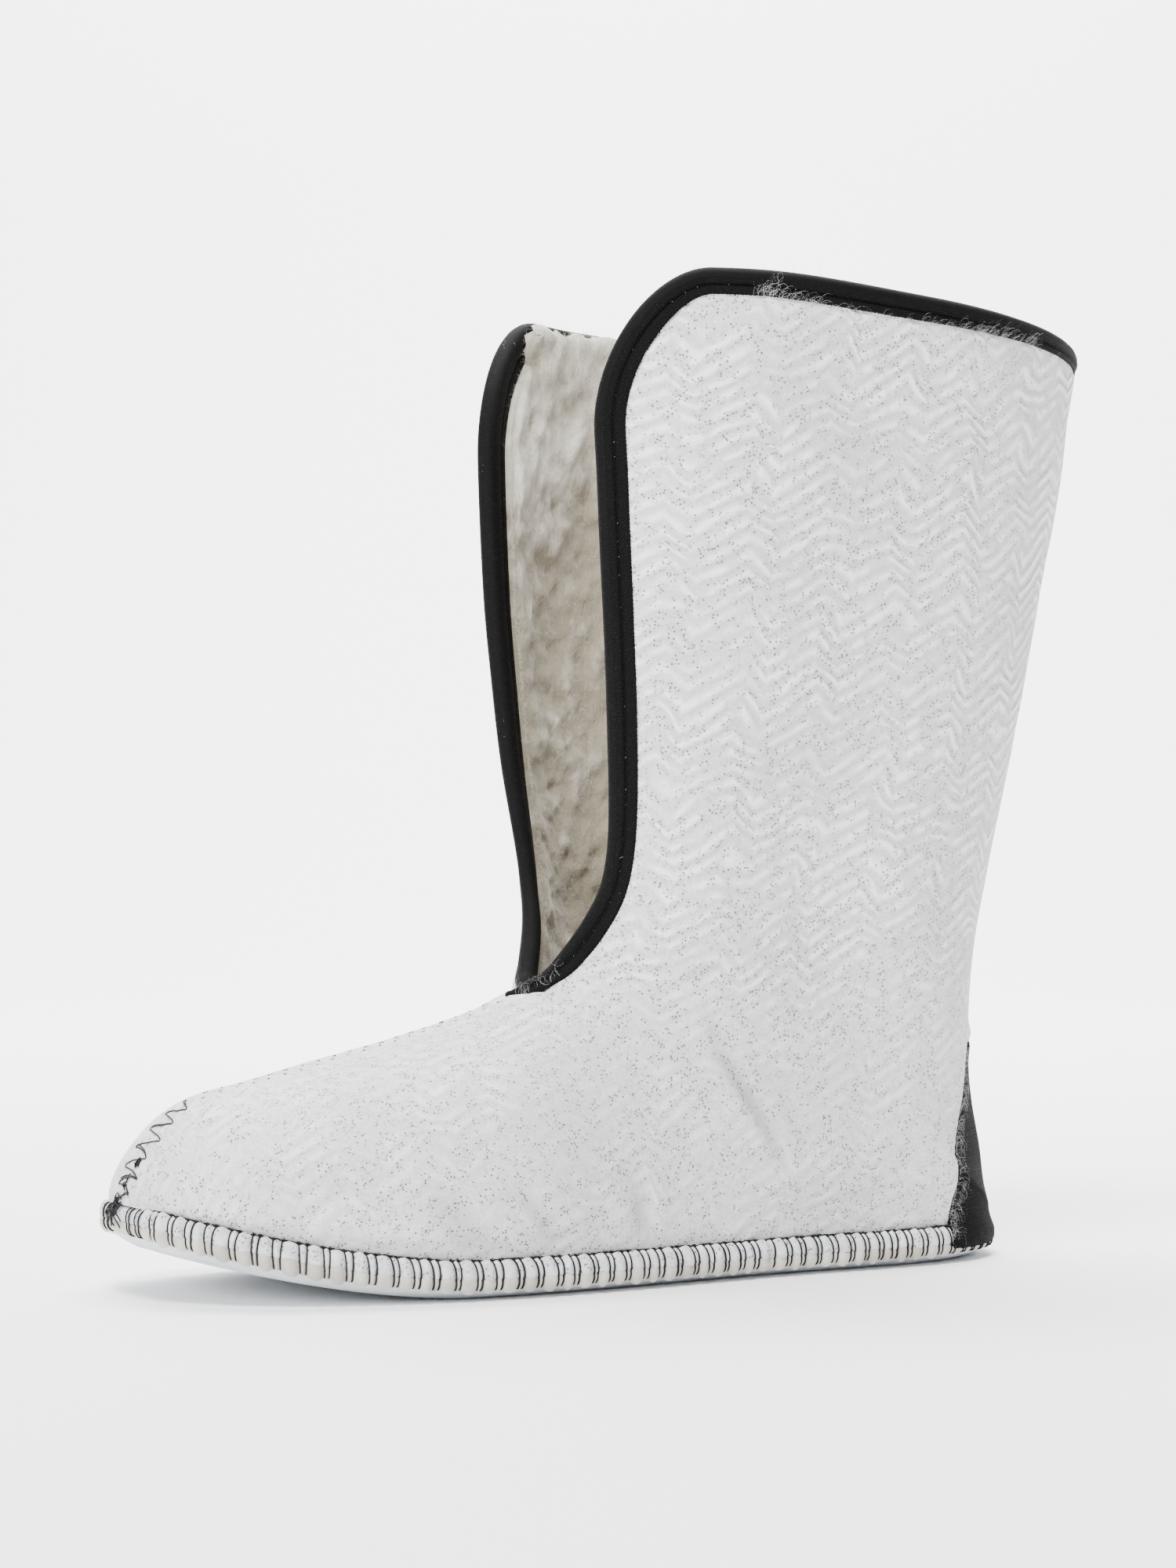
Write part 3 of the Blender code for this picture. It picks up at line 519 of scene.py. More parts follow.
def top_end(t):
    """Upper end of a section on the outer face: crest of the vamp first, then the slit's edge."""
    crest = np.clip(t, 0.0, 1.0)
    slit = np.clip(t - 1.0, 0.0, 1.0)
    up = t > 1.0
    x = np.where(up, SLIT_X(slit), CREST_X(crest))
    y = np.where(up, SLIT_Y(slit), 0.0)
    z = np.where(up, SLIT_Z(slit), CREST_Z(crest))
    return x, y, z


def bezier(a, b, c, d, t):
    """Cubic led by four values."""
    s = 1.0 - t
    return s ** 3 * a + 3.0 * s * s * t * b + 3.0 * s * t * t * c + t ** 3 * d


def surface(u, v, side, depth=0.0):
    """Point of the felt, depth under its outer face, in the frame of the solids.

    u runs along the fan of sections from the toe to the collar, v from the sole or the back
    seam up to the crest or the slit.
    """
    u, v, depth = np.broadcast_arrays(np.asarray(u, float), np.asarray(v, float),
                                      np.asarray(depth, float))
    low, top = LOW(u), TOP(u)
    qx, qy, qz, tx, ty = low_end(low, side, 0.0)
    px, py, pz = top_end(top)
    reach = np.maximum(np.hypot(px - qx, pz - qz), 1e-6)
    ax, az = (px - qx) / reach, (pz - qz) / reach
    turn = np.radians(TURN(u))
    ease = smooth(u / ROWS[2])
    nx, nz = (1.0 - ease) + ease * ax, ease * az
    px = px - depth * np.sin(turn) * nx
    pz = pz - depth * np.sin(turn) * nz
    py = py - depth * np.cos(turn)
    qx, qy, qz, tx, ty = low_end(low, side, depth)
    dx, dz = px - qx, pz - qz
    reach = np.maximum(np.hypot(dx, dz), 1e-6)
    ax, az = dx / reach, dz / reach
    at = AT(u)
    own = smooth((low - OWN_FROM) / (OWN_TO - OWN_FROM))
    half = (1.0 - own) * (qy + SIDE_BULGE * smooth(u / ROWS[2])) + own * (HALF(u) - depth)
    start = np.arctan2(ty * ax, np.maximum(tx, 0.0))
    ca, sa = np.cos(start), np.sin(start)
    reach_low = at * reach
    reach_top = (1.0 - at) * reach
    h1 = ROUND * (ca * reach_low + np.abs(sa) * np.abs(half - qy))
    h2 = ROUND * (np.cos(turn) * reach_top + np.sin(turn) * np.maximum(half - py, 0.0))
    first = v < WIDEST_V
    t = np.where(first, v / WIDEST_V, (v - WIDEST_V) / (1.0 - WIDEST_V))
    a_low = bezier(0.0, h1 * ca, reach_low * (1.0 - ROUND), reach_low, t)
    b_low = bezier(qy, qy + h1 * sa, half, half, t)
    a_top = bezier(reach_low, reach_low + ROUND * reach_top, reach - h2 * np.cos(turn), reach, t)
    b_top = bezier(half, half, py + h2 * np.sin(turn), py, t)
    a = np.where(first, a_low, a_top)
    b = np.where(first, b_low, b_top)
    x = qx + ax * a
    z = qz + az * a
    return np.stack([x + SHIFT, side * b + swing(x), z], -1)


def away_from(u, v, side, depth=0.0, way=-1.0):
    """Direction square to the felt at a depth: outward, or into the boot where way is 1."""
    return unit(surface(u, v, side, depth + way * MM) - surface(u, v, side, depth))


def edge_speed(u):
    """Length along the section for a unit of v, close to its upper end."""
    h = 1e-3
    return np.linalg.norm(surface(u, 1.0, 1) - surface(u, 1.0 - h, 1), axis=-1) / h


def row_speed(v):
    """Length across the sections for a unit of u, close to the collar."""
    h = 1e-3
    return np.linalg.norm(surface(1.0 - h, v, 1) - surface(1.0 - 2.0 * h, v, 1), axis=-1) / h


def collar_u(v):
    """Where the collar's edge cuts each line of v: crowned, with a round corner at the slit."""
    v = np.asarray(v, float)
    away = (1.0 - v) * edge_speed(1.0)
    inside = np.clip(CORNER_RADIUS - away, 0.0, CORNER_RADIUS)
    corner = CORNER_RADIUS - np.sqrt(CORNER_RADIUS ** 2 - inside ** 2)
    drop = corner + COLLAR_CROWN * (1.0 - np.sin(v * math.pi))
    return 1.0 - drop / row_speed(v)


def edge_places(step):
    """Places in u and v along the raw edge, evenly spaced, from the throat to the back seam."""
    slit = np.linspace(U_THROAT, float(collar_u(1.0)), 400)
    away = 1.0 - CORNER_RADIUS / edge_speed(1.0)
    corner = 1.0 - (1.0 - away) * (1.0 - np.cos(np.linspace(0.0, math.pi / 2.0, 120)))
    across = np.concatenate([corner[1:], np.linspace(away, 0.0, 300)[1:]])
    us = np.concatenate([slit, collar_u(across)])
    vs = np.concatenate([np.ones(len(slit)), across])
    run = run_lengths(surface(us, vs, 1))
    even = np.linspace(0.0, run[-1], int(run[-1] / step) + 1)
    return np.interp(even, run, us), np.interp(even, run, vs), even


EDGE_U, EDGE_V, EDGE_RUN = edge_places(1.6 * MM)
EDGE_LINE = surface(EDGE_U, EDGE_V, 1)


def tape_share(run):
    """Share of the tape's width at a length along the raw edge: less at its end and round the collar."""
    collar = 1.0 - 0.24 * smooth((run - 205 * MM) / (30 * MM))
    back = 1.0 - 0.30 * smooth((run - 260 * MM) / (140 * MM))
    return (0.45 + 0.55 * smooth(run / (20 * MM))) * collar * back


def edge_distance(points):
    """Distance of points of the outer half to the raw edge, larger where the tape is narrower."""
    out = np.zeros(points.shape[:-1])
    share = tape_share(EDGE_RUN)
    for i, row in enumerate(points):
        apart = ((row[..., None, :] - EDGE_LINE) ** 2).sum(-1)
        nearest = apart.argmin(-1)
        out[i] = np.sqrt(apart.min(-1)) / share[nearest]
    return out


def net_u(rows, v):
    """u for a row from 0 at the toe, through 1 at the throat and 2 at the heel, to 3 at the collar."""
    foot = U_THROAT * np.clip(rows, 0.0, 1.0) ** TOE_CROWDING
    fine = np.linspace(U_THROAT, U_HEEL, 400)
    lows = LOW(fine)
    share = np.clip(rows - 1.0, 0.0, 1.0)
    heel = np.interp(lows[0] + (lows[-1] - lows[0]) * share, lows, fine)
    shaft = (collar_u(v) - U_HEEL) * np.clip(rows - 2.0, 0.0, 1.0)
    return np.where(rows <= 1.0, foot, heel) + np.where(rows > 2.0, shaft, 0.0)


def fine_net(net):
    """Row numbers and v of a fine net over half the felt."""
    (foot, heel, shaft), columns = net
    rows = np.concatenate([np.linspace(0.004, 1.0, foot), 1.0 + np.arange(1, heel + 1) / heel,
                           2.0 + np.arange(1, shaft + 1) / shaft])
    return np.meshgrid(rows, np.linspace(0.0, 1.0, columns), indexing="ij")


def flat_pattern():
    """The half felt laid flat as it was cut: a net of springs let out on a table."""
    rows, columns = np.meshgrid(np.linspace(0.0, 3.0, 61), np.linspace(0.0, 1.0, 31), indexing="ij")
    space = surface(net_u(rows, columns), columns, 1)
    flat = space[..., (0, 2)].copy()
    whole, short, late = slice(None), slice(None, -1), slice(1, None)
    springs = []
    for a, b in (((short, whole), (late, whole)), ((whole, short), (whole, late)),
                 ((short, short), (late, late)), ((short, late), (late, short))):
        springs.append((a, b, np.linalg.norm(space[b] - space[a], axis=-1)))
    for _ in range(700):
        move = np.zeros_like(flat)
        count = np.zeros(flat.shape[:2])
        for a, b, rest in springs:
            span = flat[b] - flat[a]
            size = np.maximum(np.linalg.norm(span, axis=-1), 1e-9)
            pull = span * (0.5 * (1.0 - rest / size))[..., None]
            move[a] += pull
            move[b] -= pull
            count[a] += 1.0
            count[b] += 1.0
        flat += move / count[..., None] * 1.6
    return flat


def between(table, a, b):
    """Values of a table between its rows and columns."""
    i, j = a.astype(int), b.astype(int)
    f, g = (a - i)[..., None], (b - j)[..., None]
    return ((table[i, j] * (1 - f) + table[i + 1, j] * f) * (1 - g)
            + (table[i, j + 1] * (1 - f) + table[i + 1, j + 1] * f) * g)


def spread(table, rows, v):
    """Values of a coarse table over rows and v at any place between."""
    high, wide = table.shape[0] - 1, table.shape[1] - 1
    return between(table, np.clip(rows / 3.0 * high, 0.0, high - 1e-6),
                   np.clip(v * wide, 0.0, wide - 1e-6))


LATTICE_SIZE = 32
LATTICE = np.random.default_rng(7).random((LATTICE_SIZE,) * 3) * 2.0 - 1.0


def lumps(points, size, stretch=(1.0, 1.0, 1.0)):
    """Soft bumps in space of about a given size, between -1 and 1."""
    place = points @ LEAN.T / (size * np.array(stretch)) + 300.0
    base = np.floor(place).astype(int)
    part = smooth(place - base)
    total = np.zeros(points.shape[:-1])
    for corner in itertools.product((0, 1), repeat=3):
        weight = np.prod(np.where(np.array(corner) == 1, part, 1.0 - part), axis=-1)
        spot = (base + np.array(corner)) % LATTICE_SIZE
        total += weight * LATTICE[spot[..., 0], spot[..., 1], spot[..., 2]]
    return total


def turned(a, b):
    """Rotation by two angles, so that the lattice of the bumps never lines up with the boot."""
    ca, sa, cb, sb = math.cos(a), math.sin(a), math.cos(b), math.sin(b)
    return np.array([[ca, -sa, 0.0], [sa, ca, 0.0], [0.0, 0.0, 1.0]]) @ np.array(
        [[cb, 0.0, sb], [0.0, 1.0, 0.0], [-sb, 0.0, cb]])


LEAN = turned(0.5, 0.35)


def vertices_of(name):
    """Places of the vertices of a piece built before."""
    mesh = bpy.data.objects[name].data
    places = np.zeros(len(mesh.vertices) * 3)
    mesh.vertices.foreach_get("co", places)
    return places.reshape(-1, 3)


def round_heel(radius, angle, z):
    """Places round the upright axis of the heel; the angle is 0 straight back."""
    return np.stack([HEEL_AXIS + SHIFT - radius * np.cos(angle), radius * np.sin(angle), z], -1)


def patch_half(rise):
    """Half width of the heel cloth round the heel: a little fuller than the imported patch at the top."""
    full = PATCH_HALF_BOTTOM - PATCH_TRIM
    belly = 1.7 * MM * np.exp(-((rise - 0.42) / 0.24) ** 2)
    return full + belly + (PATCH_HALF_TOP + PATCH_SPREAD - full) * rise ** PATCH_NARROWING


def patch_inside(points):
    """Distance inside the heel patch's border, minus outside it."""
    x, y, z = points[..., 0] - SHIFT, points[..., 1], points[..., 2]
    arc = np.abs(np.arctan2(y, HEEL_AXIS - x)) * HEEL_AXIS
    rise = np.clip((z - PATCH_FOOT) / (PATCH_HEIGHT - PATCH_FOOT), 0.0, 1.0)
    return np.minimum(patch_half(rise) - arc, PATCH_HEIGHT - z)


def pressed(points, side):
    """Depth of the creases at points of one side of the felt."""
    total = np.zeros(points.shape[:-1])
    for where, width, deep, places in CREASES:
        if where != side:
            continue
        shares = np.linspace(0.0, 1.0, len(places))
        fine = np.linspace(0.0, 1.0, CREASE_STEPS)
        us, vs = (natural_spline(shares, row)(fine) for row in np.array(places).T)
        line = surface(us, vs, side)
        for i, row in enumerate(points):
            if np.abs(row - line.mean(0)).sum(-1).min() > CREASE_REACH:
                continue
            apart = np.linalg.norm(row[:, None, :] - line, axis=-1)
            near = apart.min(-1) / (width * MM)
            along = apart.argmin(-1) / (CREASE_STEPS - 1.0)
            fade = np.sin(np.pi * (0.06 + 0.88 * along)) ** 0.8
            beside = 0.38 * np.exp(-((near - 2.0) / 1.1) ** 2)
            total[i] += deep * MM * fade * (np.exp(-near ** 2) - beside)
    return total


def felt_depth(u, v, side):
    """How far the felt's face lies under the plain surface: creases, lumps, tape, patch and seams."""
    points = surface(u, v, side)
    depth = pressed(points, side)
    for size, height in FELT_LUMPS:
        depth += height * lumps(points, size)

    # The felt puffs up beside the tape, and again outside the heel patch, which holds it down
    edge = edge_distance(points * np.array([1.0, side, 1.0]))
    puff = smooth((edge - TAPE_WIDTH - 0.2 * MM) / (2.6 * MM))
    puff = puff * (1.0 - 0.6 * smooth((edge - 13 * MM) / (26 * MM)))
    depth -= PUFF_BY_TAPE * puff
    inside = patch_inside(points)
    depth += PRESSED_BY_PATCH * smooth((inside + 0.4 * MM) / (1.8 * MM))
    depth -= PUFF_BY_PATCH * np.exp(-((inside + 3.4 * MM) / (2.6 * MM)) ** 2)

    # The seams along the vamp's crest and down the back draw it in
    crest = (1.0 - v) * edge_speed(u)
    on_crest = 1.0 - smooth((u - U_THROAT + 0.02) / 0.02)
    depth += CREST_GROOVE * np.exp(-(crest / (1.5 * MM)) ** 2) * on_crest
    seam_out = np.abs(points[..., 1])
    on_back = smooth((u - U_HEEL) / 0.02) * (v < 0.2)
    depth += BACK_GROOVE * np.exp(-(seam_out / (1.4 * MM)) ** 2) * on_back

    # All of it fades out where the shell meets the lip
    up = points[..., 2] - LIP_TOP - spring(points[..., 0] - SHIFT)
    return depth * smooth(up / (3.5 * MM))


def numbers(high, wide, closed=False):
    """Table of vertex numbers; where its rows are rings, the first column comes again at the end."""
    index = np.arange(high * wide).reshape(high, wide)
    return np.concatenate([index, index[:, :1]], 1) if closed else index


def meet_halves(rows, grid, side):
    """Puts the places that both halves share on the middle, and numbers one half's vertices."""
    on_crest = rows[:, -1] <= 1.0 + 1e-9
    on_back = rows[:, 0] >= 2.0 - 1e-9
    grid[on_crest, -1, 1] = swing(grid[on_crest, -1, 0] - SHIFT)
    grid[on_back, 0, 1] = 0.0
    first = numbers(*rows.shape)
    if side == 1:
        return first
    index = first + first.size
    index[on_crest, -1] = first[on_crest, -1]
    index[on_back, 0] = first[on_back, 0]
    return index


def on_cloth(along, across):
    """Places on the cut cloth from two tables of lengths, in millimetres."""
    return np.stack(np.broadcast_arrays(along, across), -1)


def four_corners(table, flip=False):
    """Entries of a table round each of its meshes: faces from vertex numbers, or values at their corners."""
    ring = np.stack([table[:-1, :-1], table[:-1, 1:], table[1:, 1:], table[1:, :-1]], 2)
    corners = ring.reshape(-1, 4, *table.shape[2:])
    return corners[:, ::-1] if flip else corners


def add_piece(name, points, faces, material, replaced=(), corners=None, shade=None):
    """Mesh of a piece, smooth shaded, riding on the liner; shade is kept as a number per vertex."""
    mesh = bpy.data.meshes.new(name)
    mesh.from_pydata(np.asarray(points).reshape(-1, 3).tolist(), [], np.asarray(faces).tolist())
    if corners is not None:
        layer = mesh.uv_layers.new(name="flat")
        layer.data.foreach_set("uv", np.asarray(corners, float).ravel())
    if shade is not None:
        layer = mesh.attributes.new("shade", "FLOAT", "POINT")
        layer.data.foreach_set("value", np.asarray(shade, float).ravel())
    mesh.update()
    mesh.shade_smooth()
    mesh.materials.append(material)
    piece = bpy.data.objects.new(name, mesh)
    bpy.context.scene.collection.objects.link(piece)
    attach(piece, "root")
    if replaced:
        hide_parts(*replaced)


def tubes(paths, outward, radius, sides):
    """Tubes along many paths of as many points each, with an outward direction at every point."""
    along = unit(np.gradient(paths, axis=1))
    across = unit(np.cross(along, outward))
    over = np.cross(across, along)
    turns = np.linspace(0.0, 2.0 * math.pi, sides, endpoint=False)
    radius = np.broadcast_to(np.asarray(radius, float), paths.shape[:2])[..., None, None]
    ring = over[:, :, None, :] * np.cos(turns)[:, None] + across[:, :, None, :] * np.sin(turns)[:, None]
    points = paths[:, :, None, :] + ring * radius
    count, length = paths.shape[:2]
    index = np.arange(count * length * sides).reshape(count, length, sides)
    index = np.concatenate([index, index[:, :, :1]], 2)
    quads = np.stack([index[:, :-1, :-1], index[:, :-1, 1:], index[:, 1:, 1:], index[:, 1:, :-1]], -1)
    return points.reshape(-1, 3), quads.reshape(-1, 4)


def join_tubes(bundles):
    """Several bundles of tubes as one set of points and faces."""
    points, faces, base = [], [], 0
    for paths, outward, radius, sides in bundles:
        more, quads = tubes(paths, outward, radius, sides)
        points.append(more)
        faces.append(quads + base)
        base += len(more)
    return np.concatenate(points), np.concatenate(faces)


def ribbons(paths, outward, width):
    """Flat fibres along many paths of as many points each, facing outward, pointed at the tip."""
    along = np.gradient(paths, axis=1)
    across = unit(np.cross(along, outward))
    taper = np.linspace(1.0, 0.25, paths.shape[1])[:, None]
    shift = across * taper * np.reshape(width, (-1, 1, 1)) / 2.0
    points = np.stack([paths - shift, paths + shift], 2)
    count, length = paths.shape[:2]
    index = np.arange(count * length * 2).reshape(count, length, 2)
    quads = np.stack([index[:, :-1, 0], index[:, :-1, 1], index[:, 1:, 1], index[:, 1:, 0]], -1)
    return points.reshape(-1, 3), quads.reshape(-1, 4)


def outline_run(side):
    """Length along the sole's edge from the toe, against its share t."""
    t = np.linspace(0.0, 1.0, 900)
    x, y, _, _ = outline_point(t, side, 0.0)
    return t, run_lengths(np.stack([x, y], -1))


RUNS = {side: outline_run(side) for side in SIDES}


def edge_share(side, run):
    """Share t of the sole's edge at a length along it."""
    lengths = RUNS[side][1]
    return np.interp(run, lengths, RUNS[side][0])


def chance_of(side, seed):
    """Random numbers for one side, the same in every run."""
    return np.random.default_rng(seed if side == 1 else seed + 1)


def stitch_places(side, pitch):
    """Lengths along the sole's edge where pairs of strands go round it, uneven as by hand."""
    length = RUNS[side][1][-1]
    chance = chance_of(side, 11)
    places, at = [], FIRST_STITCH
    while at < length - 2.0 * MM:
        places.append(at)
        at += pitch * (1.08 - 0.1 * at / length) * chance.uniform(0.9, 1.1)
    return np.array(places)


def seam_strands(side, sizes):
    """Pairs of strands round the sole seam: place along the edge, half the gap between them, bow."""
    chance = chance_of(side, 21)
    middle = stitch_places(side, sizes.stitch_pitch)
    half = sizes.strand_gap / 2.0 * chance.uniform(0.8, 1.2, len(middle))
    toward_heel = 2.0 * smooth((middle - 35 * MM) / (70 * MM)) - 1.0
    bow = MM * toward_heel * chance.uniform(0.5, 1.2, len(middle))
    return middle, half, bow


def strand_runs(seam, share):
    """Place along the edge of every single strand at a share of its way down over the band."""
    middle, half, bow = seam
    centre = middle + bow * math.sin(math.pi * share)
    gap = half * (1.35 - 0.6 * share)
    return np.stack([centre - gap, centre + gap], -1).ravel()


def smooth_profile(rows, count):
    """A profile cut at evenly spaced places: out and up, in metres."""
    rows = np.array(rows) * MM
    shares = chord_shares(rows)
    even = np.linspace(0.0, 1.0, count)
    return natural_spline(shares, rows[:, 0])(even), natural_spline(shares, rows[:, 1])(even)


def profile_slope(out, up):
    """Direction of a profile at each of its places."""
    return unit(np.stack([np.gradient(out), np.gradient(up)], -1))


def toe_tuck(run):
    """How far the band of the seam draws in toward the knotted threads at the tip of the toe."""
    return TOE_TUCK * (1.0 - smooth(run / TOE_TUCK_REACH))


def band_points(side, run, out, up):
    """Points beside the sole's edge: out from it and up from the floor the sole lies on."""
    x, y, _, _ = outline_point(edge_share(side, run), side, toe_tuck(run) - out)
    return np.stack([x + SHIFT, side * y + swing(x), up + spring(x)], -1)


def thread_bundle(side, run, out, up, radius, sides=6):
    """Threads beside the sole's edge, in the form that join_tubes takes."""
    paths = band_points(side, run, out, up)
    return paths, band_points(side, run, out + 1.0, up) - paths, radius, sides


def pillows(run, strands, plump):
    """Swelling of the felt between the strands: none at a strand, full half a pitch away."""
    gaps = np.abs(run[:, None] - strands).min(-1)
    sizes = plump[np.searchsorted(np.sort(strands), run)]
    return (1.0 - np.exp(-(gaps / (0.95 * MM)) ** 1.6)) * sizes


def band_ring(side, count):
    """Lengths along half the sole's edge, evenly spaced."""
    return np.linspace(0.0, RUNS[side][1][-1], count)


def build_band(profile, down, sizes, swell, seed, window):
    """Loop of a band round the sole's edge, swollen between the strands that cross it.

    down holds the shares of the strands' way at which the profile is cut.
    """
    out, up = smooth_profile(profile, len(down))
    slope = profile_slope(out, up)
    loops = []
    for side in SIDES:
        run = band_ring(side, BAND_STEPS)
        seam = seam_strands(side, sizes)
        plump = np.random.default_rng(seed + side).uniform(0.72, 1.12, 2 * len(seam[0]) + 1)
        bulge = np.array([pillows(run, strand_runs(seam, share), plump) for share in down])
        held = 1.0 - 0.85 * smooth((run - RUNS[side][1][-1] + 56 * MM) / (8 * MM))
        held = held * (0.1 + 0.9 * smooth((run - 8 * MM) / (14 * MM)))
        push = swell * bulge * held * window(np.linspace(0.0, 1.0, len(down)))[:, None]
        wide = out[:, None] - slope[:, 1:2] * push
        high = up[:, None] + slope[:, 0:1] * push
        points = band_points(side, np.broadcast_to(run, wide.shape), wide, high)
        loops.append(points if side == 1 else points[:, -2:0:-1])
    return np.concatenate(loops, axis=1)


def ring_inside(share, count, inset, tuck, height):
    """Ring inside the sole's edge, drawn in by a share of the way to the foot's spine.

    height gives the level of the places by their distance from the edge, before the toe's spring.
    """
    loops = []
    for side in SIDES:
        run = band_ring(side, count)
        t = edge_share(side, run)
        x, y, _, _ = outline_point(t, side, inset + tuck * toe_tuck(run))
        spine_x = SOLE_LENGTH * (SPINE_TOE + (SPINE_HEEL - SPINE_TOE) * t)
        inner_x = x + (spine_x - x) * share
        inner_y = y * (1.0 - share)
        z = height(np.hypot(x - inner_x, y - inner_y) + inset) + spring(inner_x)
        half = np.stack([inner_x + SHIFT, side * inner_y + swing(inner_x), z], -1)
        loops.append(half if side == 1 else half[-2:0:-1])
    return np.concatenate(loops)


def underside_height(inset):
    """Height of the sole's underside, which puffs down to the floor inside its rim."""
    return PUFF * (1.0 - smooth(inset / PUFF_WIDTH))


def node(tree, kind, inputs=None, **settings):
    """A node with its settings and inputs, each a value or another node's output."""
    item = tree.nodes.new(kind)
    for name, value in settings.items():
        setattr(item, name, value)
    for key, value in (inputs or {}).items():
        if isinstance(value, bpy.types.NodeSocket):
            tree.links.new(value, item.inputs[key])
        else:
            item.inputs[key].default_value = value
    return item


def calc(operation, *inputs, clamp=False):
    """A maths node, in the tree of whichever input comes from another node."""
    tree = next(item.id_data for item in inputs if isinstance(item, bpy.types.NodeSocket))
    item = node(tree, "ShaderNodeMath", dict(enumerate(inputs)), operation=operation, use_clamp=clamp)
    return item.outputs[0]


def times(a, b, clamp=False):
    """Product of two inputs, each a number or another node's output."""
    return calc("MULTIPLY", a, b, clamp=clamp)


def plus(a, b, clamp=False):
    """Sum of two inputs."""
    return calc("ADD", a, b, clamp=clamp)


def minus(a, b, clamp=False):
    """First input without the second."""
    return calc("SUBTRACT", a, b, clamp=clamp)


def scaled(a, factor, start, clamp=False):
    """An input times a factor, counted from a start."""
    return calc("MULTIPLY_ADD", a, factor, start, clamp=clamp)


def ripple(a, pitch):
    """Waves with a crest at every pitch, between -1 and 1."""
    return calc("SINE", times(a, 2.0 * math.pi / pitch))


def blend_colors(share, a, b):
    """Colour between a and b, each a colour or another node's output; at share 1 it is b."""
    tree = share.id_data
    item = node(tree, "ShaderNodeMix", {0: share}, data_type="RGBA")
    for socket, value in ((item.inputs[6], a), (item.inputs[7], b)):
        if isinstance(value, bpy.types.NodeSocket):
            tree.links.new(value, socket)
        else:
            socket.default_value = (*value, 1.0)
    return item.outputs[2]


def ramp(value, low, high):
    """0 below low, 1 above high."""
    inputs = {"Value": value, "From Min": low, "From Max": high}
    return node(value.id_data, "ShaderNodeMapRange", inputs, interpolation_type="SMOOTHSTEP").outputs[0]


def noise(vector, scale, detail=2.0, roughness=0.5, stretch=None):
    """Soft irregular cloud, from 0 to 1, drawn out by the stretch where there is one."""
    tree = vector.id_data
    if stretch is not None:
        vector = node(tree, "ShaderNodeMapping", {"Vector": vector, "Scale": stretch}).outputs[0]
    inputs = {"Vector": vector, "Scale": scale, "Detail": detail, "Roughness": roughness}
    return node(tree, "ShaderNodeTexNoise", inputs).outputs[0]


def cells(vector, scale, randomness):
    """Distance to the middle of the nearest cell, and a colour by chance for each cell."""
    inputs = {"Vector": vector, "Scale": scale, "Randomness": randomness}
    item = node(vector.id_data, "ShaderNodeTexVoronoi", inputs, feature="F1")
    return item.outputs["Distance"], item.outputs["Color"]


def parts_of(vector):
    """The three parts of a vector."""
    return node(vector.id_data, "ShaderNodeSeparateXYZ", {0: vector}).outputs


def start_material(name, roughness, sheen=0.0, sheen_roughness=0.5, specular=0.25):
    """New material with its Principled shader, whose uniform values are set here."""
    material = bpy.data.materials.new(name)
    material.use_nodes = True
    shader = material.node_tree.nodes["Principled BSDF"]
    shader.inputs["Roughness"].default_value = roughness
    shader.inputs["Sheen Weight"].default_value = sheen
    shader.inputs["Sheen Roughness"].default_value = sheen_roughness
    shader.inputs["Specular IOR Level"].default_value = specular
    return material, shader


def place_in_space(shader):
    """Place in the frame of the solids, in metres."""
    return node(shader.id_data, "ShaderNodeTexCoord").outputs["Object"]


def place_on_cloth(shader):
    """Place on the cloth as it was cut, in millimetres."""
    return node(shader.id_data, "ShaderNodeUVMap", uv_map="flat").outputs[0]


def kept_shade(shader):
    """The number that the piece keeps for each vertex, which sets its painted light and shade."""
    return node(shader.id_data, "ShaderNodeAttribute", attribute_name="shade").outputs["Fac"]


def join_up(material, shader, color, height=None, distance=MM):
    """Leads the colour, and the fine relief where there is one, to the shader."""
    tree = material.node_tree
    tree.links.new(color, shader.inputs["Base Color"])
    if height is not None:
        bump = node(tree, "ShaderNodeBump", {"Height": height, "Distance": distance, "Strength": 1.0})
        tree.links.new(bump.outputs[0], shader.inputs["Normal"])
    return material


def chevron(p, period, share, rise, tilt):
    """Height of a line that climbs over a share of each period and drops back over the rest."""
    place = calc("FRACT", calc("DIVIDE", p, period))
    climb = calc("DIVIDE", place, share)
    drop = calc("DIVIDE", minus(1.0, place), 1.0 - share)
    peak = calc("SMOOTH_MIN", climb, drop, 0.2)
    return scaled(p, tilt, times(peak, rise))


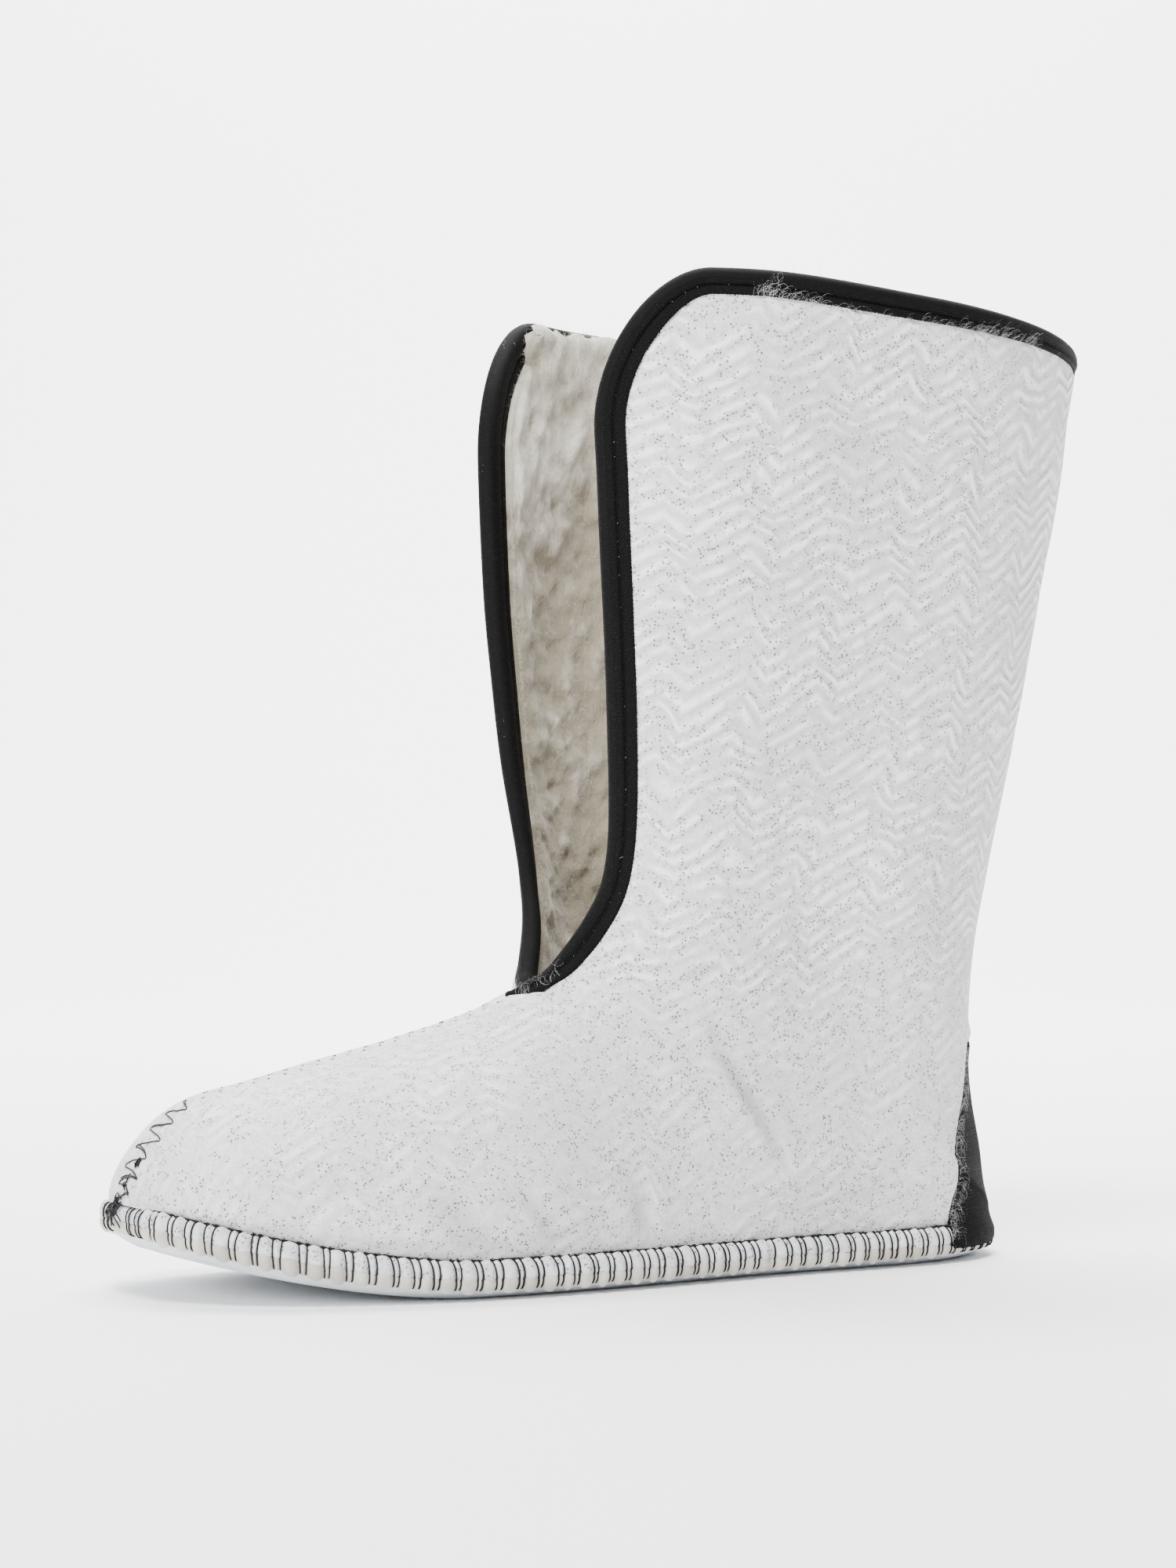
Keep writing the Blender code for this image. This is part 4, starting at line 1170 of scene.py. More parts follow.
def felt_material(colors, sizes):
    """Needle-punched felt: chevron ridges pressed in, clusters of pinholes in their troughs, fibres."""
    material, shader = start_material("white felt", 0.9, 0.12, 0.45)
    shader.inputs["Subsurface Weight"].default_value = 0.05
    shader.inputs["Subsurface Radius"].default_value = (0.004, 0.004, 0.004)
    place, flat = place_in_space(shader), place_on_cloth(shader)
    ahead, _, height = parts_of(place)
    along, up, _ = parts_of(flat)

    # Ridges, broken into bars, strongest on the shaft
    sway = scaled(noise(flat, 0.06, 0.0), 10.0, up)
    path = scaled(noise(flat, 0.06, 0.0), 9.0, times(along, -1.0))
    line = chevron(path, 23.0, 0.66, 6.4, 0.17)
    phase = calc("DIVIDE", minus(sway, line), sizes.ridge_spacing / MM)
    wave = calc("COSINE", times(phase, 2.0 * math.pi))
    broken = ramp(noise(flat, 0.13, 1.0), 0.36, 0.60)
    patchy = scaled(ramp(noise(flat, 0.03, 1.0), 0.35, 0.62), 0.55, 0.45)
    strong = times(patchy, scaled(ramp(height, 0.06, 0.13), 0.65, 0.35))
    bar = times(scaled(wave, 0.5, 0.5), times(scaled(broken, 0.75, 0.25), strong))

    # Pinholes in clusters, fewer at the toe, with a soft halo of grey fuzz
    spread_out, _ = cells(place, 270.0, 0.9)
    ragged = scaled(noise(place, 800.0), 0.5, spread_out)
    cluster = minus(1.0, ramp(ragged, 0.60, 0.92))
    apart, by_chance = cells(place, 1100.0, 1.0)
    chance = parts_of(by_chance)[0]
    dot = minus(1.0, ramp(apart, 0.12, 0.40))
    toward_toe = ramp(ahead, -0.128, -0.085)
    shown = times(times(ramp(cluster, 0.15, 0.6), ramp(chance, 0.05, 0.50)), scaled(toward_toe, 0.6, 0.4))
    hole = times(dot, shown)
    halo = minus(1.0, ramp(apart, 0.10, 0.95))

    # Colour: painted light on the bars, paler in random clouds; painted shade and grey fuzz in the troughs;
    # painted shade in the creases and low down by the sole seam; grey fuzz round the pinholes
    fleece = noise(flat, 0.9, 4.0, 0.65)
    fuzz = noise(flat, 2.6, 3.0, 0.7)
    cloud = noise(place, 38.0, 3.0)
    # pale: random clouds of paler felt, and painted light on the bars
    pale = scaled(ramp(cloud, 0.3, 0.7), 0.35, times(bar, 1.3), clamp=True)
    # trough: painted shade in the troughs beside the bars
    trough = times(minus(0.55, bar, clamp=True), 1.1)
    smudge = times(times(halo, shown), ramp(fuzz, 0.20, 0.60))
    base = blend_colors(pale, colors.felt_shade, colors.felt)
    base = blend_colors(times(trough, ramp(fleece, 0.25, 0.70)), base, colors.felt_fuzz_and_shade)
    base = blend_colors(times(smudge, 0.62), base, colors.felt_fuzz_and_shade)
    # Painted shade in the creases and low down by the sole seam, from the kept shade
    base = blend_colors(times(kept_shade(shader), 0.95, clamp=True), base, colors.felt_fuzz_and_shade)
    base = blend_colors(times(hole, 0.92), base, colors.pinhole)

    # Relief: fleece and streaks of fibre, bars and pinholes
    streak = noise(flat, 1.1, 3.0, 0.6, (1.5, 0.35, 1.0))
    relief = plus(times(fleece, 0.13), times(streak, 0.08))
    relief = plus(relief, times(bar, sizes.ridge_height / MM))
    return join_up(material, shader, base, minus(relief, times(hole, 0.2)))


def pile_material(colors):
    """Cream pile: painted light on the tufts, painted shade between them and deep inside the boot, streaked
    by its fibres.
    """
    material, shader = start_material("cream pile", 0.95, 0.35)
    place = place_in_space(shader)
    fibre = noise(place, 900.0, 3.0, 0.6, (1.0, 1.0, 0.45))
    tuft = noise(place, 230.0, 3.0, 0.6, (1.0, 1.0, 0.7))
    cloud = noise(place, 60.0)
    # Painted light and shade: the kept shade and the tufts set it, random clouds vary it
    mixed = plus(times(kept_shade(shader), 0.75), times(minus(tuft, 0.5), 0.9))
    mixed = plus(mixed, times(minus(cloud, 0.5), 0.5), clamp=True)
    base = blend_colors(mixed, colors.pile_shade, colors.pile)
    return join_up(material, shader, base, plus(times(fibre, 0.4), times(tuft, 0.8)))


def tape_material(colors, sizes):
    """Black woven tape: ribs across the borders, a finer weave on the rolled fold."""
    material, shader = start_material("black woven tape", 0.65, specular=0.07)
    place, flat = place_in_space(shader), place_on_cloth(shader)
    along, across, _ = parts_of(flat)
    rib = ripple(along, sizes.rib_pitch / MM)
    line = ripple(across, 0.75)
    border = ramp(across, 5.2, 5.8)
    relief = plus(times(times(rib, line), times(border, 0.16)), times(ripple(along, 0.42), 0.03))
    relief = plus(relief, times(noise(flat, 2.0, 3.0), 0.08))
    lint = ramp(noise(place, 420.0), 0.60, 0.82)
    base = blend_colors(times(lint, 0.25), colors.tape, colors.lint)
    base = blend_colors(times(border, 0.5), base, colors.tape_rib)
    return join_up(material, shader, base, relief)


def cloth_material(colors, sizes):
    """Black heel cloth with fine level ribs and a little lint."""
    material, shader = start_material("black ribbed cloth", 0.75, specular=0.06)
    place, flat = place_in_space(shader), place_on_cloth(shader)
    along, up, _ = parts_of(flat)
    wobble = scaled(noise(flat, 0.12), 1.2, up)
    relief = scaled(ripple(wobble, sizes.cloth_rib / MM), 0.10, times(ripple(along, 0.5), 0.03))
    lint = ramp(noise(place, 520.0, 3.0), 0.60, 0.80)
    base = blend_colors(times(lint, 0.35), colors.cloth, colors.lint)
    return join_up(material, shader, base, relief)


def thread_material(colors):
    """Black thread with a paler twist."""
    material, shader = start_material("black thread", 0.55, specular=0.12)
    twist = noise(place_in_space(shader), 1400.0, 1.0)
    base = blend_colors(ramp(twist, 0.35, 0.75), colors.thread, colors.thread_light)
    return join_up(material, shader, base, twist, 0.3 * MM)


def sole_material(colors):
    """Felt of the sole: cream at the stitched rim, smooth underneath, where its bluish grey is painted
    shade.
    """
    material, shader = start_material("sole felt", 0.8, 0.2, 0.4)
    shader.inputs["Subsurface Weight"].default_value = 0.12
    shader.inputs["Subsurface Radius"].default_value = (0.004, 0.0035, 0.003)
    place = place_in_space(shader)
    cloud = noise(place, 90.0, 3.0)
    fine = noise(place, 700.0, 3.0, 0.65)
    rim = blend_colors(ramp(cloud, 0.35, 0.7), colors.rim_shade, colors.rim)
    under = blend_colors(ramp(cloud, 0.3, 0.75), colors.underside_shade, colors.underside)
    # Painted shade: the kept shade turns the cream rim into the underside's bluish grey
    base = blend_colors(kept_shade(shader), rim, under)
    return join_up(material, shader, base, plus(times(fine, 0.10), times(cloud, 0.25)))


def cloudy_material(name, color, paler, scale, detail, roughness, sheen=0.0, sheen_roughness=0.5):
    """Material of one colour, a little paler in places."""
    material, shader = start_material(name, roughness, sheen, sheen_roughness)
    pale = tuple(min(c * paler, 1.0) for c in color)
    base = blend_colors(noise(place_in_space(shader), scale, detail), color, pale)
    return join_up(material, shader, base)


def hair_material(name, color):
    """Loose fibres, a little cloudy."""
    return cloudy_material(name, color, 1.12, 300.0, 1.0, 0.55, 0.3, 0.4)


def hairs(roots, lean, outward, length, lift, curl, seed, steps):
    """Curling paths from roots: they lean one way, lift off the ground and wave about."""
    chance = np.random.default_rng(seed)
    count = len(roots)
    share = np.linspace(0.0, 1.0, steps)
    side = np.cross(lean, outward)
    size = (length * chance.uniform(0.45, 1.25, count))[:, None]
    wave = chance.uniform(0.0, 2.0 * math.pi, (count, 1))
    turns = chance.uniform(0.6, 1.7, (count, 1))
    sway = np.sin(wave + share * 2.0 * math.pi * turns) - np.sin(wave)
    drift = chance.normal(0.0, 0.55, (count, 1)) * share
    forward = share + 0.25 * (np.cos(wave + share * 2.0 * math.pi * turns) - np.cos(wave)) * curl
    rise = np.sin(share * math.pi * 0.85) * lift * chance.uniform(0.3, 1.2, (count, 1))
    paths = (roots[:, None, :] + lean[:, None, :] * (forward * size)[..., None]
             + side[:, None, :] * ((sway * 0.3 * curl + drift) * size)[..., None]
             + outward[:, None, :] * rise[..., None])
    return paths, np.broadcast_to(outward[:, None, :], paths.shape)


def size_property(name, description, value, smallest):
    """A length that the panel shows, in metres."""
    return bpy.props.FloatProperty(name=name, description=description, default=value, min=smallest,
                                   unit="LENGTH")


class LinerSizes(bpy.types.PropertyGroup):
    """Sizes of stitches, ribs and pile"""

    stitch_pitch: size_property(
        "Stitch pitch", "Distance between pairs of strands round the sole seam", 0.0057, 0.002)
    strand_gap: size_property(
        "Strand gap", "Distance between the two strands of a pair", 0.0016, 0.0005)
    thread_radius: size_property(
        "Thread radius", "Half the thickness of the black thread", 0.00023, 0.00005)
    zigzag_width: size_property(
        "Zigzag width", "Width of the zigzag seam over the vamp", 0.0126, 0.001)
    zigzag_pitch: size_property(
        "Zigzag pitch", "Length of one zigzag along the vamp", 0.0050, 0.001)
    pillow_swell: size_property(
        "Pillow swell", "How far the felt swells between the strands", 0.0015, 0.0)
    ridge_spacing: size_property(
        "Ridge spacing", "Distance between the ridges pressed into the felt", 0.0050, 0.001)
    ridge_height: size_property(
        "Ridge height", "Height of the ridges pressed into the felt", 0.0011, 0.0)
    pile_height: size_property(
        "Pile height", "Thickness of the pile on the inner face", 0.0040, 0.001)
    rib_pitch: size_property(
        "Tape rib pitch", "Distance between the ribs across the tape's borders", 0.00115, 0.0003)
    cloth_rib: size_property(
        "Cloth rib pitch", "Distance between the level ribs of the heel cloth", 0.0006, 0.0002)


def color_property(name, description, value):
    """A colour that the panel shows."""
    return bpy.props.FloatVectorProperty(name=name, description=description, subtype="COLOR",
                                         default=value, min=0.0, max=1.0)


class LinerColors(bpy.types.PropertyGroup):
    """Colours of the liner and of the floor"""

    # The paler felt colour is also painted light on the ridges' bars
    felt: color_property("Felt", "White felt of the shell", (0.88, 0.882, 0.885))
    felt_shade: color_property("Felt shade", "Greyer places of the felt", (0.61, 0.617, 0.626))
    # Felt deep: grey fuzz round the pinholes, in the troughs and on the needle fibres; painted shade in the
    # troughs and creases
    felt_fuzz_and_shade: color_property("Felt deep", "Grey fuzz between the ridges", (0.40, 0.405, 0.41))
    pinhole: color_property("Pinhole", "Needle holes in the felt", (0.06, 0.05, 0.042))
    pile: color_property("Pile", "Tips of the pile", (0.80, 0.775, 0.70))
    # Pile shade is painted shade: between the tufts and deep inside the boot
    pile_shade: color_property("Pile shade", "Depths of the pile", (0.27, 0.238, 0.178))
    # Pile fibre: the pile's own colour darkened partway toward its painted shade
    pile_fibre: color_property("Pile fibre", "Single fibres of the pile", (0.55, 0.515, 0.44))
    tape: color_property("Tape", "Black tape", (0.0035, 0.0035, 0.0037))
    tape_rib: color_property("Tape rib", "Ribbed borders of the tape", (0.003, 0.003, 0.0035))
    lint: color_property("Lint", "Fine lint on the black cloths", (0.014, 0.014, 0.014))
    cloth: color_property("Heel cloth", "Black cloth at the heel", (0.004, 0.004, 0.0043))
    thread: color_property("Thread", "Black thread", (0.006, 0.006, 0.007))
    thread_light: color_property("Thread light", "Paler twist of the thread", (0.022, 0.024, 0.028))
    rim: color_property("Rim", "Cream felt between the strands", (0.56, 0.535, 0.485))
    rim_shade: color_property("Rim shade", "Darker cream felt", (0.40, 0.375, 0.325))
    # Underside and underside shade: bluish grey painted shade of the sole's downward face, varied at random
    underside: color_property("Underside", "Smooth underside of the sole", (0.62, 0.66, 0.70))
    underside_shade: color_property("Underside shade", "Darker places underneath", (0.54, 0.58, 0.62))
    floor: color_property("Floor", "Pale floor", (0.96, 0.96, 0.96))


class LINER_OT_felt(bpy.types.Operator):
    """Felt shell with its creases, and the lip that goes over the sole seam"""

    bl_idname = "liner.felt"
    bl_label = "Felt shell"

    def execute(self, context):
        sizes, colors = context.scene.liner_sizes, context.scene.liner_colors
        rows, v = fine_net(FELT_NET)
        u = net_u(rows, v)
        flat = spread(flat_pattern(), rows, v) / MM
        points, faces, corners, shades = [], [], [], []
        for side in SIDES:
            grid = surface(u, v, side, felt_depth(u, v, side))
            plain = surface(u, v, side)
            # Kept shade: painted shade in the creases, and low down above the sole seam
            above_seam = plain[..., 2] - LIP_TOP - spring(plain[..., 0] - SHIFT)
            low = 0.32 * (1.0 - smooth((above_seam - 0.5 * MM) / (6.5 * MM)))
            shades.append(np.clip(pressed(plain, side) / (2.2 * MM), 0.0, 1.0) + low)
            index = meet_halves(rows, grid, side)
            points.append(grid.reshape(-1, 3))
            faces.append(four_corners(index, side == 1))
            apart = 0.0 if side == 1 else HALVES_APART
            corners.append(four_corners(flat + apart, side == 1))
        felt = felt_material(colors, sizes)
        add_piece("felt_upper", np.concatenate(points), np.concatenate(faces), felt, ("upper",),
                  np.concatenate(corners), np.array(shades))

        def window(w):
            return smooth(w / 0.22) * (1.0 - 0.55 * smooth((w - 0.86) / 0.14))

        lip = build_band(LIP_PROFILE, LIP_DOWN, sizes, sizes.pillow_swell, 31, window)
        high, wide = lip.shape[:2]
        flat = on_cloth(np.arange(wide + 1)[None, :] * LIP_STEP, np.linspace(0.0, LIP_DEPTH, high)[:, None])
        add_piece("felt_lip", lip, four_corners(numbers(high, wide, True), True), felt, ("upper",),
                  four_corners(flat, True))
        return {"FINISHED"}


class LINER_OT_sole(bpy.types.Operator):
    """Felt sole with its stitched rim and smooth underside"""

    bl_idname = "liner.sole"
    bl_label = "Sole"

    def execute(self, context):
        sizes, colors = context.scene.liner_sizes, context.scene.liner_colors

        def window(w):
            return smooth(w / 0.15) * (1.0 - smooth((w - 0.60) / 0.16))

        rim = build_band(RIM_PROFILE, RIM_DOWN, sizes, sizes.pillow_swell * 1.1, 41, window)
        rings = list(rim)
        heights = smooth_profile(RIM_PROFILE, len(rim))[1]
        # Kept shade: 0 on the cream rim, 1 below 3.1 mm and on the underside, which takes the painted shade
        shade = [np.full(rim.shape[1], smooth((3.1 * MM - height) / (0.5 * MM))) for height in heights]
        for share in (0.05, 0.12, 0.22, 0.36, 0.62, 1.0):
            rings.append(ring_inside(share, BAND_STEPS, RIM_INSET, 1.0, underside_height))
            shade.append(np.ones(rim.shape[1]))
        points = np.array(rings)
        faces = four_corners(numbers(*points.shape[:2], True), True)
        add_piece("sole_plate", points, faces, sole_material(colors), ("sole",),
                  shade=np.array(shade))
        return {"FINISHED"}


class LINER_OT_lining(bpy.types.Operator):
    """Cream pile on the inner faces, puffing over the tape along the collar"""

    bl_idname = "liner.lining"
    bl_label = "Pile lining"

    def execute(self, context):
        sizes, colors = context.scene.liner_sizes, context.scene.liner_colors
        rows, v = fine_net(PILE_NET)
        u = net_u(rows, v)
        points, faces, shades, fibres = [], [], [], []
        for side in SIDES:
            grid, fluff, outward = self.pile_face(rows, v, u, side, sizes)
            index = meet_halves(rows, grid, side)
            points.append(grid.reshape(-1, 3))
            # Kept shade: painted light on the high tufts, painted shade between them and lower down inside
            # the boot
            shades.append(0.68 + 0.9 * fluff - 0.76 * (1.0 - smooth((grid[..., 2] - 0.19) / 0.09)))
            faces.append(four_corners(index, side == -1))
            fibres.append(self.fibres(rows, grid, outward, side))
        pile = pile_material(colors)
        add_piece("pile_lining", np.concatenate(points), np.concatenate(faces), pile, ("upper",),
                  shade=np.array(shades))
        paths, facing = (np.concatenate(group) for group in zip(*fibres))
        chance = np.random.default_rng(67)
        points, faces = ribbons(paths, facing, chance.uniform(0.07, 0.13, len(paths)) * MM)
        # The single fibres' colour is darkened partway toward the pile's painted shade
        add_piece("pile_fibres", points, faces, hair_material("pile fibre", colors.pile_fibre))
        self.add_insole(pile)
        return {"FINISHED"}

    def pile_face(self, rows, v, u, side, sizes):
        """Tufted face of the pile, how high it stands at each place and its direction into the boot."""
        edge = edge_distance(surface(u, v, 1))
        collar = smooth((0.93 - v) / 0.07) * smooth((rows - 2.5) / 0.3)
        shown = np.maximum(smooth((edge - TAPE_WIDTH * 1.05) / (2.0 * MM)), collar)
        base = surface(u, v, side, WALL)
        fluff = sum(weight * lumps(base + shift, size, (1.0, 1.0, stretch))
                    for shift, size, stretch, weight in TUFTS)
        full = WALL + sizes.pile_height * (0.42 + 0.85 * fluff)
        depth = 1.6 * MM + (full - 1.6 * MM) * shown
        grid = surface(u, v, side, depth)
        outward = unit(surface(u, v, side, depth + MM) - grid)
        away = np.zeros_like(grid)
        away[1:] = unit(grid[1:] - grid[:-1])
        rolled = smooth(1.0 - edge / (5.0 * MM)) * collar
        rise = (2.3 + 1.6 * fluff) * MM * rolled
        back = (depth - 3.0 * MM) * smooth((rolled - 0.75) / 0.25)
        grid = grid + away * rise[..., None] - outward * back[..., None]
        return grid, fluff, outward

    def fibres(self, rows, grid, outward, side):
        """Fibres of the pile where it can be seen, combed together into tufts."""
        chance = np.random.default_rng(65 + side)
        high, wide = rows.shape
        low = np.searchsorted(rows[:, 0], 1.15)
        a = chance.uniform(low, high - 1.01, PILE_FIBRES)
        a[:PILE_FIBRES // 4] = chance.uniform(high - 9.0, high - 1.01, PILE_FIBRES // 4)
        b = chance.uniform(0, wide - 1.01, PILE_FIBRES)
        roots = between(grid, a, b)
        facing = outward[a.astype(int), b.astype(int)]
        angle = 3.0 * lumps(roots, 13 * MM) + 1.3 * lumps(roots, 4 * MM)
        angle = angle + chance.normal(0.0, 0.6, PILE_FIBRES)
        up = unit(np.array([0.0, 0.0, 1.0]) - facing * facing[:, 2:])
        beside = np.cross(up, facing)
        lean = up * np.cos(angle)[:, None] + beside * np.sin(angle)[:, None]
        return hairs(roots - facing * 0.5 * MM, lean, facing, 3.6 * MM, 1.7 * MM, 0.5, 66 + side, 5)

    def add_insole(self, pile):
        """Pile over the top of the sole."""
        rings = [ring_inside(share, INSOLE_STEPS, 5.0 * MM, 0.0, lambda inset: SEAM_Z)
                 for share in np.linspace(0.0, 1.0, 20)]
        points = np.array(rings)
        fluff = 0.6 * lumps(points, 9 * MM) + 0.4 * lumps(points, 4 * MM)
        points[..., 2] += 2.4 * MM + 1.3 * MM * fluff
        faces = four_corners(numbers(*points.shape[:2], True))
        # Kept shade: painted light on the tufts, painted shade between them
        add_piece("pile_insole", points, faces, pile, ("upper",), shade=0.5 + 0.8 * fluff)


def walk_from_edge(us, vs, side, distances):
    """Places at each distance from the raw edge, square to it along the felt."""
    path = surface(us, vs, side)
    along = np.gradient(path, axis=0)
    along[0] = (0.0, side, 0.0)
    along[-1] = (0.0, -side, 0.0)
    along = unit(along)
    u, v = us.copy(), vs.copy()
    h = 5e-4
    found, gone = [], 0.0
    for distance in distances:
        du = (surface(u + h, v, side) - surface(u - h, v, side)) / (2.0 * h)
        back = np.minimum(v - h, 1.0 - 2.0 * h)
        dv = (surface(u, back + 2.0 * h, side) - surface(u, back, side)) / (2.0 * h)
        normal = unit(np.cross(du, dv) * side)
        inward = unit(np.cross(along, normal) * side)
        move = inward * np.reshape(distance - gone, (-1, 1))
        guu, gvv, guv = (du * du).sum(1), (dv * dv).sum(1), (du * dv).sum(1)
        mu, mv = (move * du).sum(1), (move * dv).sum(1)
        det = np.maximum(guu * gvv - guv ** 2, 1e-12)
        u = u + (mu * gvv - mv * guv) / det
        v = v + (mv * guu - mu * guv) / det
        gone = distance
        found.append((u.copy(), v.copy()))
    return found


def tape_rows(side, us, vs, run, teeth):
    """Cross sections of the tape along one side: from the outer border over the fold to the inner one."""
    shares, lifts = np.array(TAPE_PROFILE).T
    lifts = lifts * MM
    width = TAPE_WIDTH * tape_share(run) * 1.04
    saw = np.abs((run / teeth) % 1.0 - 0.5) * 2.0
    distances = []
    for share in shares:
        jag = 0.26 * MM * (saw - 0.5) * smooth((share - 0.93) / 0.06)
        distances.append(width * share + jag)
    legs = walk_from_edge(us, vs, side, distances)
    legs_in = walk_from_edge(us, vs, side, [distance * TAPE_INSIDE for distance in distances])
    edge_out = surface(us, vs, side)
    edge_in = surface(us, vs, side, EDGE_WALL)
    middle = (edge_out + edge_in) / 2.0
    across = unit(edge_out - edge_in)
    near = surface(*legs[0], side)
    away = edge_out - near
    away = unit(away - across * (away * across).sum(1)[:, None])
    outer = [surface(u, v, side, -lift) for (u, v), lift in zip(legs, lifts)]
    inner = [surface(u, v, side, EDGE_WALL + lift) for (u, v), lift in zip(legs_in, lifts)]
    radius = EDGE_WALL / 2.0 + lifts[0]
    fold = []
    for turn in FOLD_TURNS:
        a = math.radians(turn)
        fold.append(middle + across * radius * math.sin(a) + away * (radius * math.cos(a) * 0.85 + 0.3 * MM))
    rows = np.array(outer[::-1] + fold + inner)
    return np.moveaxis(rows, 0, 1)


class LINER_OT_tape(bpy.types.Operator):
    """Black tape folded over the raw edge, its near end lapped over the far one"""

    bl_idname = "liner.tape"
    bl_label = "Edge tape"

    def execute(self, context):
        sizes, colors = context.scene.liner_sizes, context.scene.liner_colors
        us, vs, run = edge_places(0.46 * MM)
        sections = {}
        for side in SIDES:
            sections[side] = tape_rows(side, us, vs, run, sizes.rib_pitch)
            heart = sections[side][:, [len(TAPE_PROFILE) // 2]]
            closed = 0.12 + 0.88 * smooth(run / (6 * MM))[:, None, None]
            sections[side] = heart + (sections[side] - heart) * closed
        toward_toe = unit(surface(U_THROAT - 0.03, 1.0, 1) - surface(U_THROAT, 1.0, 1))
        tail = TAPE_TAIL * (1.0 - smooth(run / TAPE_TAIL_FROM))
        sections[1] = sections[1] + toward_toe * tail[:, None, None]
        strip = np.concatenate([sections[1], sections[-1][-2::-1]])
        arc = np.concatenate([run, run[-1] + (run[-1] - run[-2::-1])])
        centre = strip[:, [len(TAPE_PROFILE) + len(FOLD_TURNS) // 2]]
        lift = 1.0 * MM * (1.0 - smooth((arc - 2.0 * MM) / (7.0 * MM)))
        ahead = np.gradient(strip, axis=0)
        sideways = np.gradient(strip, axis=1)
        out = unit(np.cross(sideways, ahead))
        facing = np.sign((out * (strip - centre)).sum(-1, keepdims=True).mean(1, keepdims=True))
        body = strip + out * facing * lift[:, None, None]
        across = run_lengths(strip[len(strip) // 3])
        across = np.abs(across - across[-1] / 2.0) / MM
        flat = on_cloth(arc[:, None] / MM, across[None, :])
        faces = four_corners(numbers(*body.shape[:2]), True)
        add_piece("edge_tape", body, faces, tape_material(colors, sizes), ("collar_binding",),
                  four_corners(flat, True))
        self.add_specks(us, vs, run, colors)
        return {"FINISHED"}

    def add_specks(self, us, vs, run, colors):
        """White felt fibres pulled up through the needle holes of the tape's stitch line."""
        chance = np.random.default_rng(51)
        roots, lean, outward = [], [], []
        for side in SIDES:
            steps = np.arange(6 * MM, run[-1], 4.7 * MM)
            steps = steps + chance.uniform(-0.4, 0.4, len(steps)) * MM
            u0, v0 = np.interp(steps, run, us), np.interp(steps, run, vs)
            width = TAPE_WIDTH * tape_share(steps)
            near, far = walk_from_edge(u0, v0, side, [width * 0.44, width * 0.55])
            a = surface(*near, side, -0.60 * MM)
            b = surface(*far, side, -0.60 * MM)
            roots.append(a)
            lean.append(unit(b - a))
            outward.append(away_from(*near, side))
        roots, lean, outward = np.concatenate(roots), np.concatenate(lean), np.concatenate(outward)
        keep = chance.random(len(roots)) < 0.45
        paths, up = hairs(roots[keep], lean[keep], outward[keep], 0.32 * MM, 0.05 * MM, 0.6, 52, 4)
        points, faces = join_tubes([(paths, up, 0.05 * MM, 5)])
        fibre = hair_material("needle fibre", colors.felt_fuzz_and_shade)
        add_piece("tape_needle_specks", points, faces, fibre)


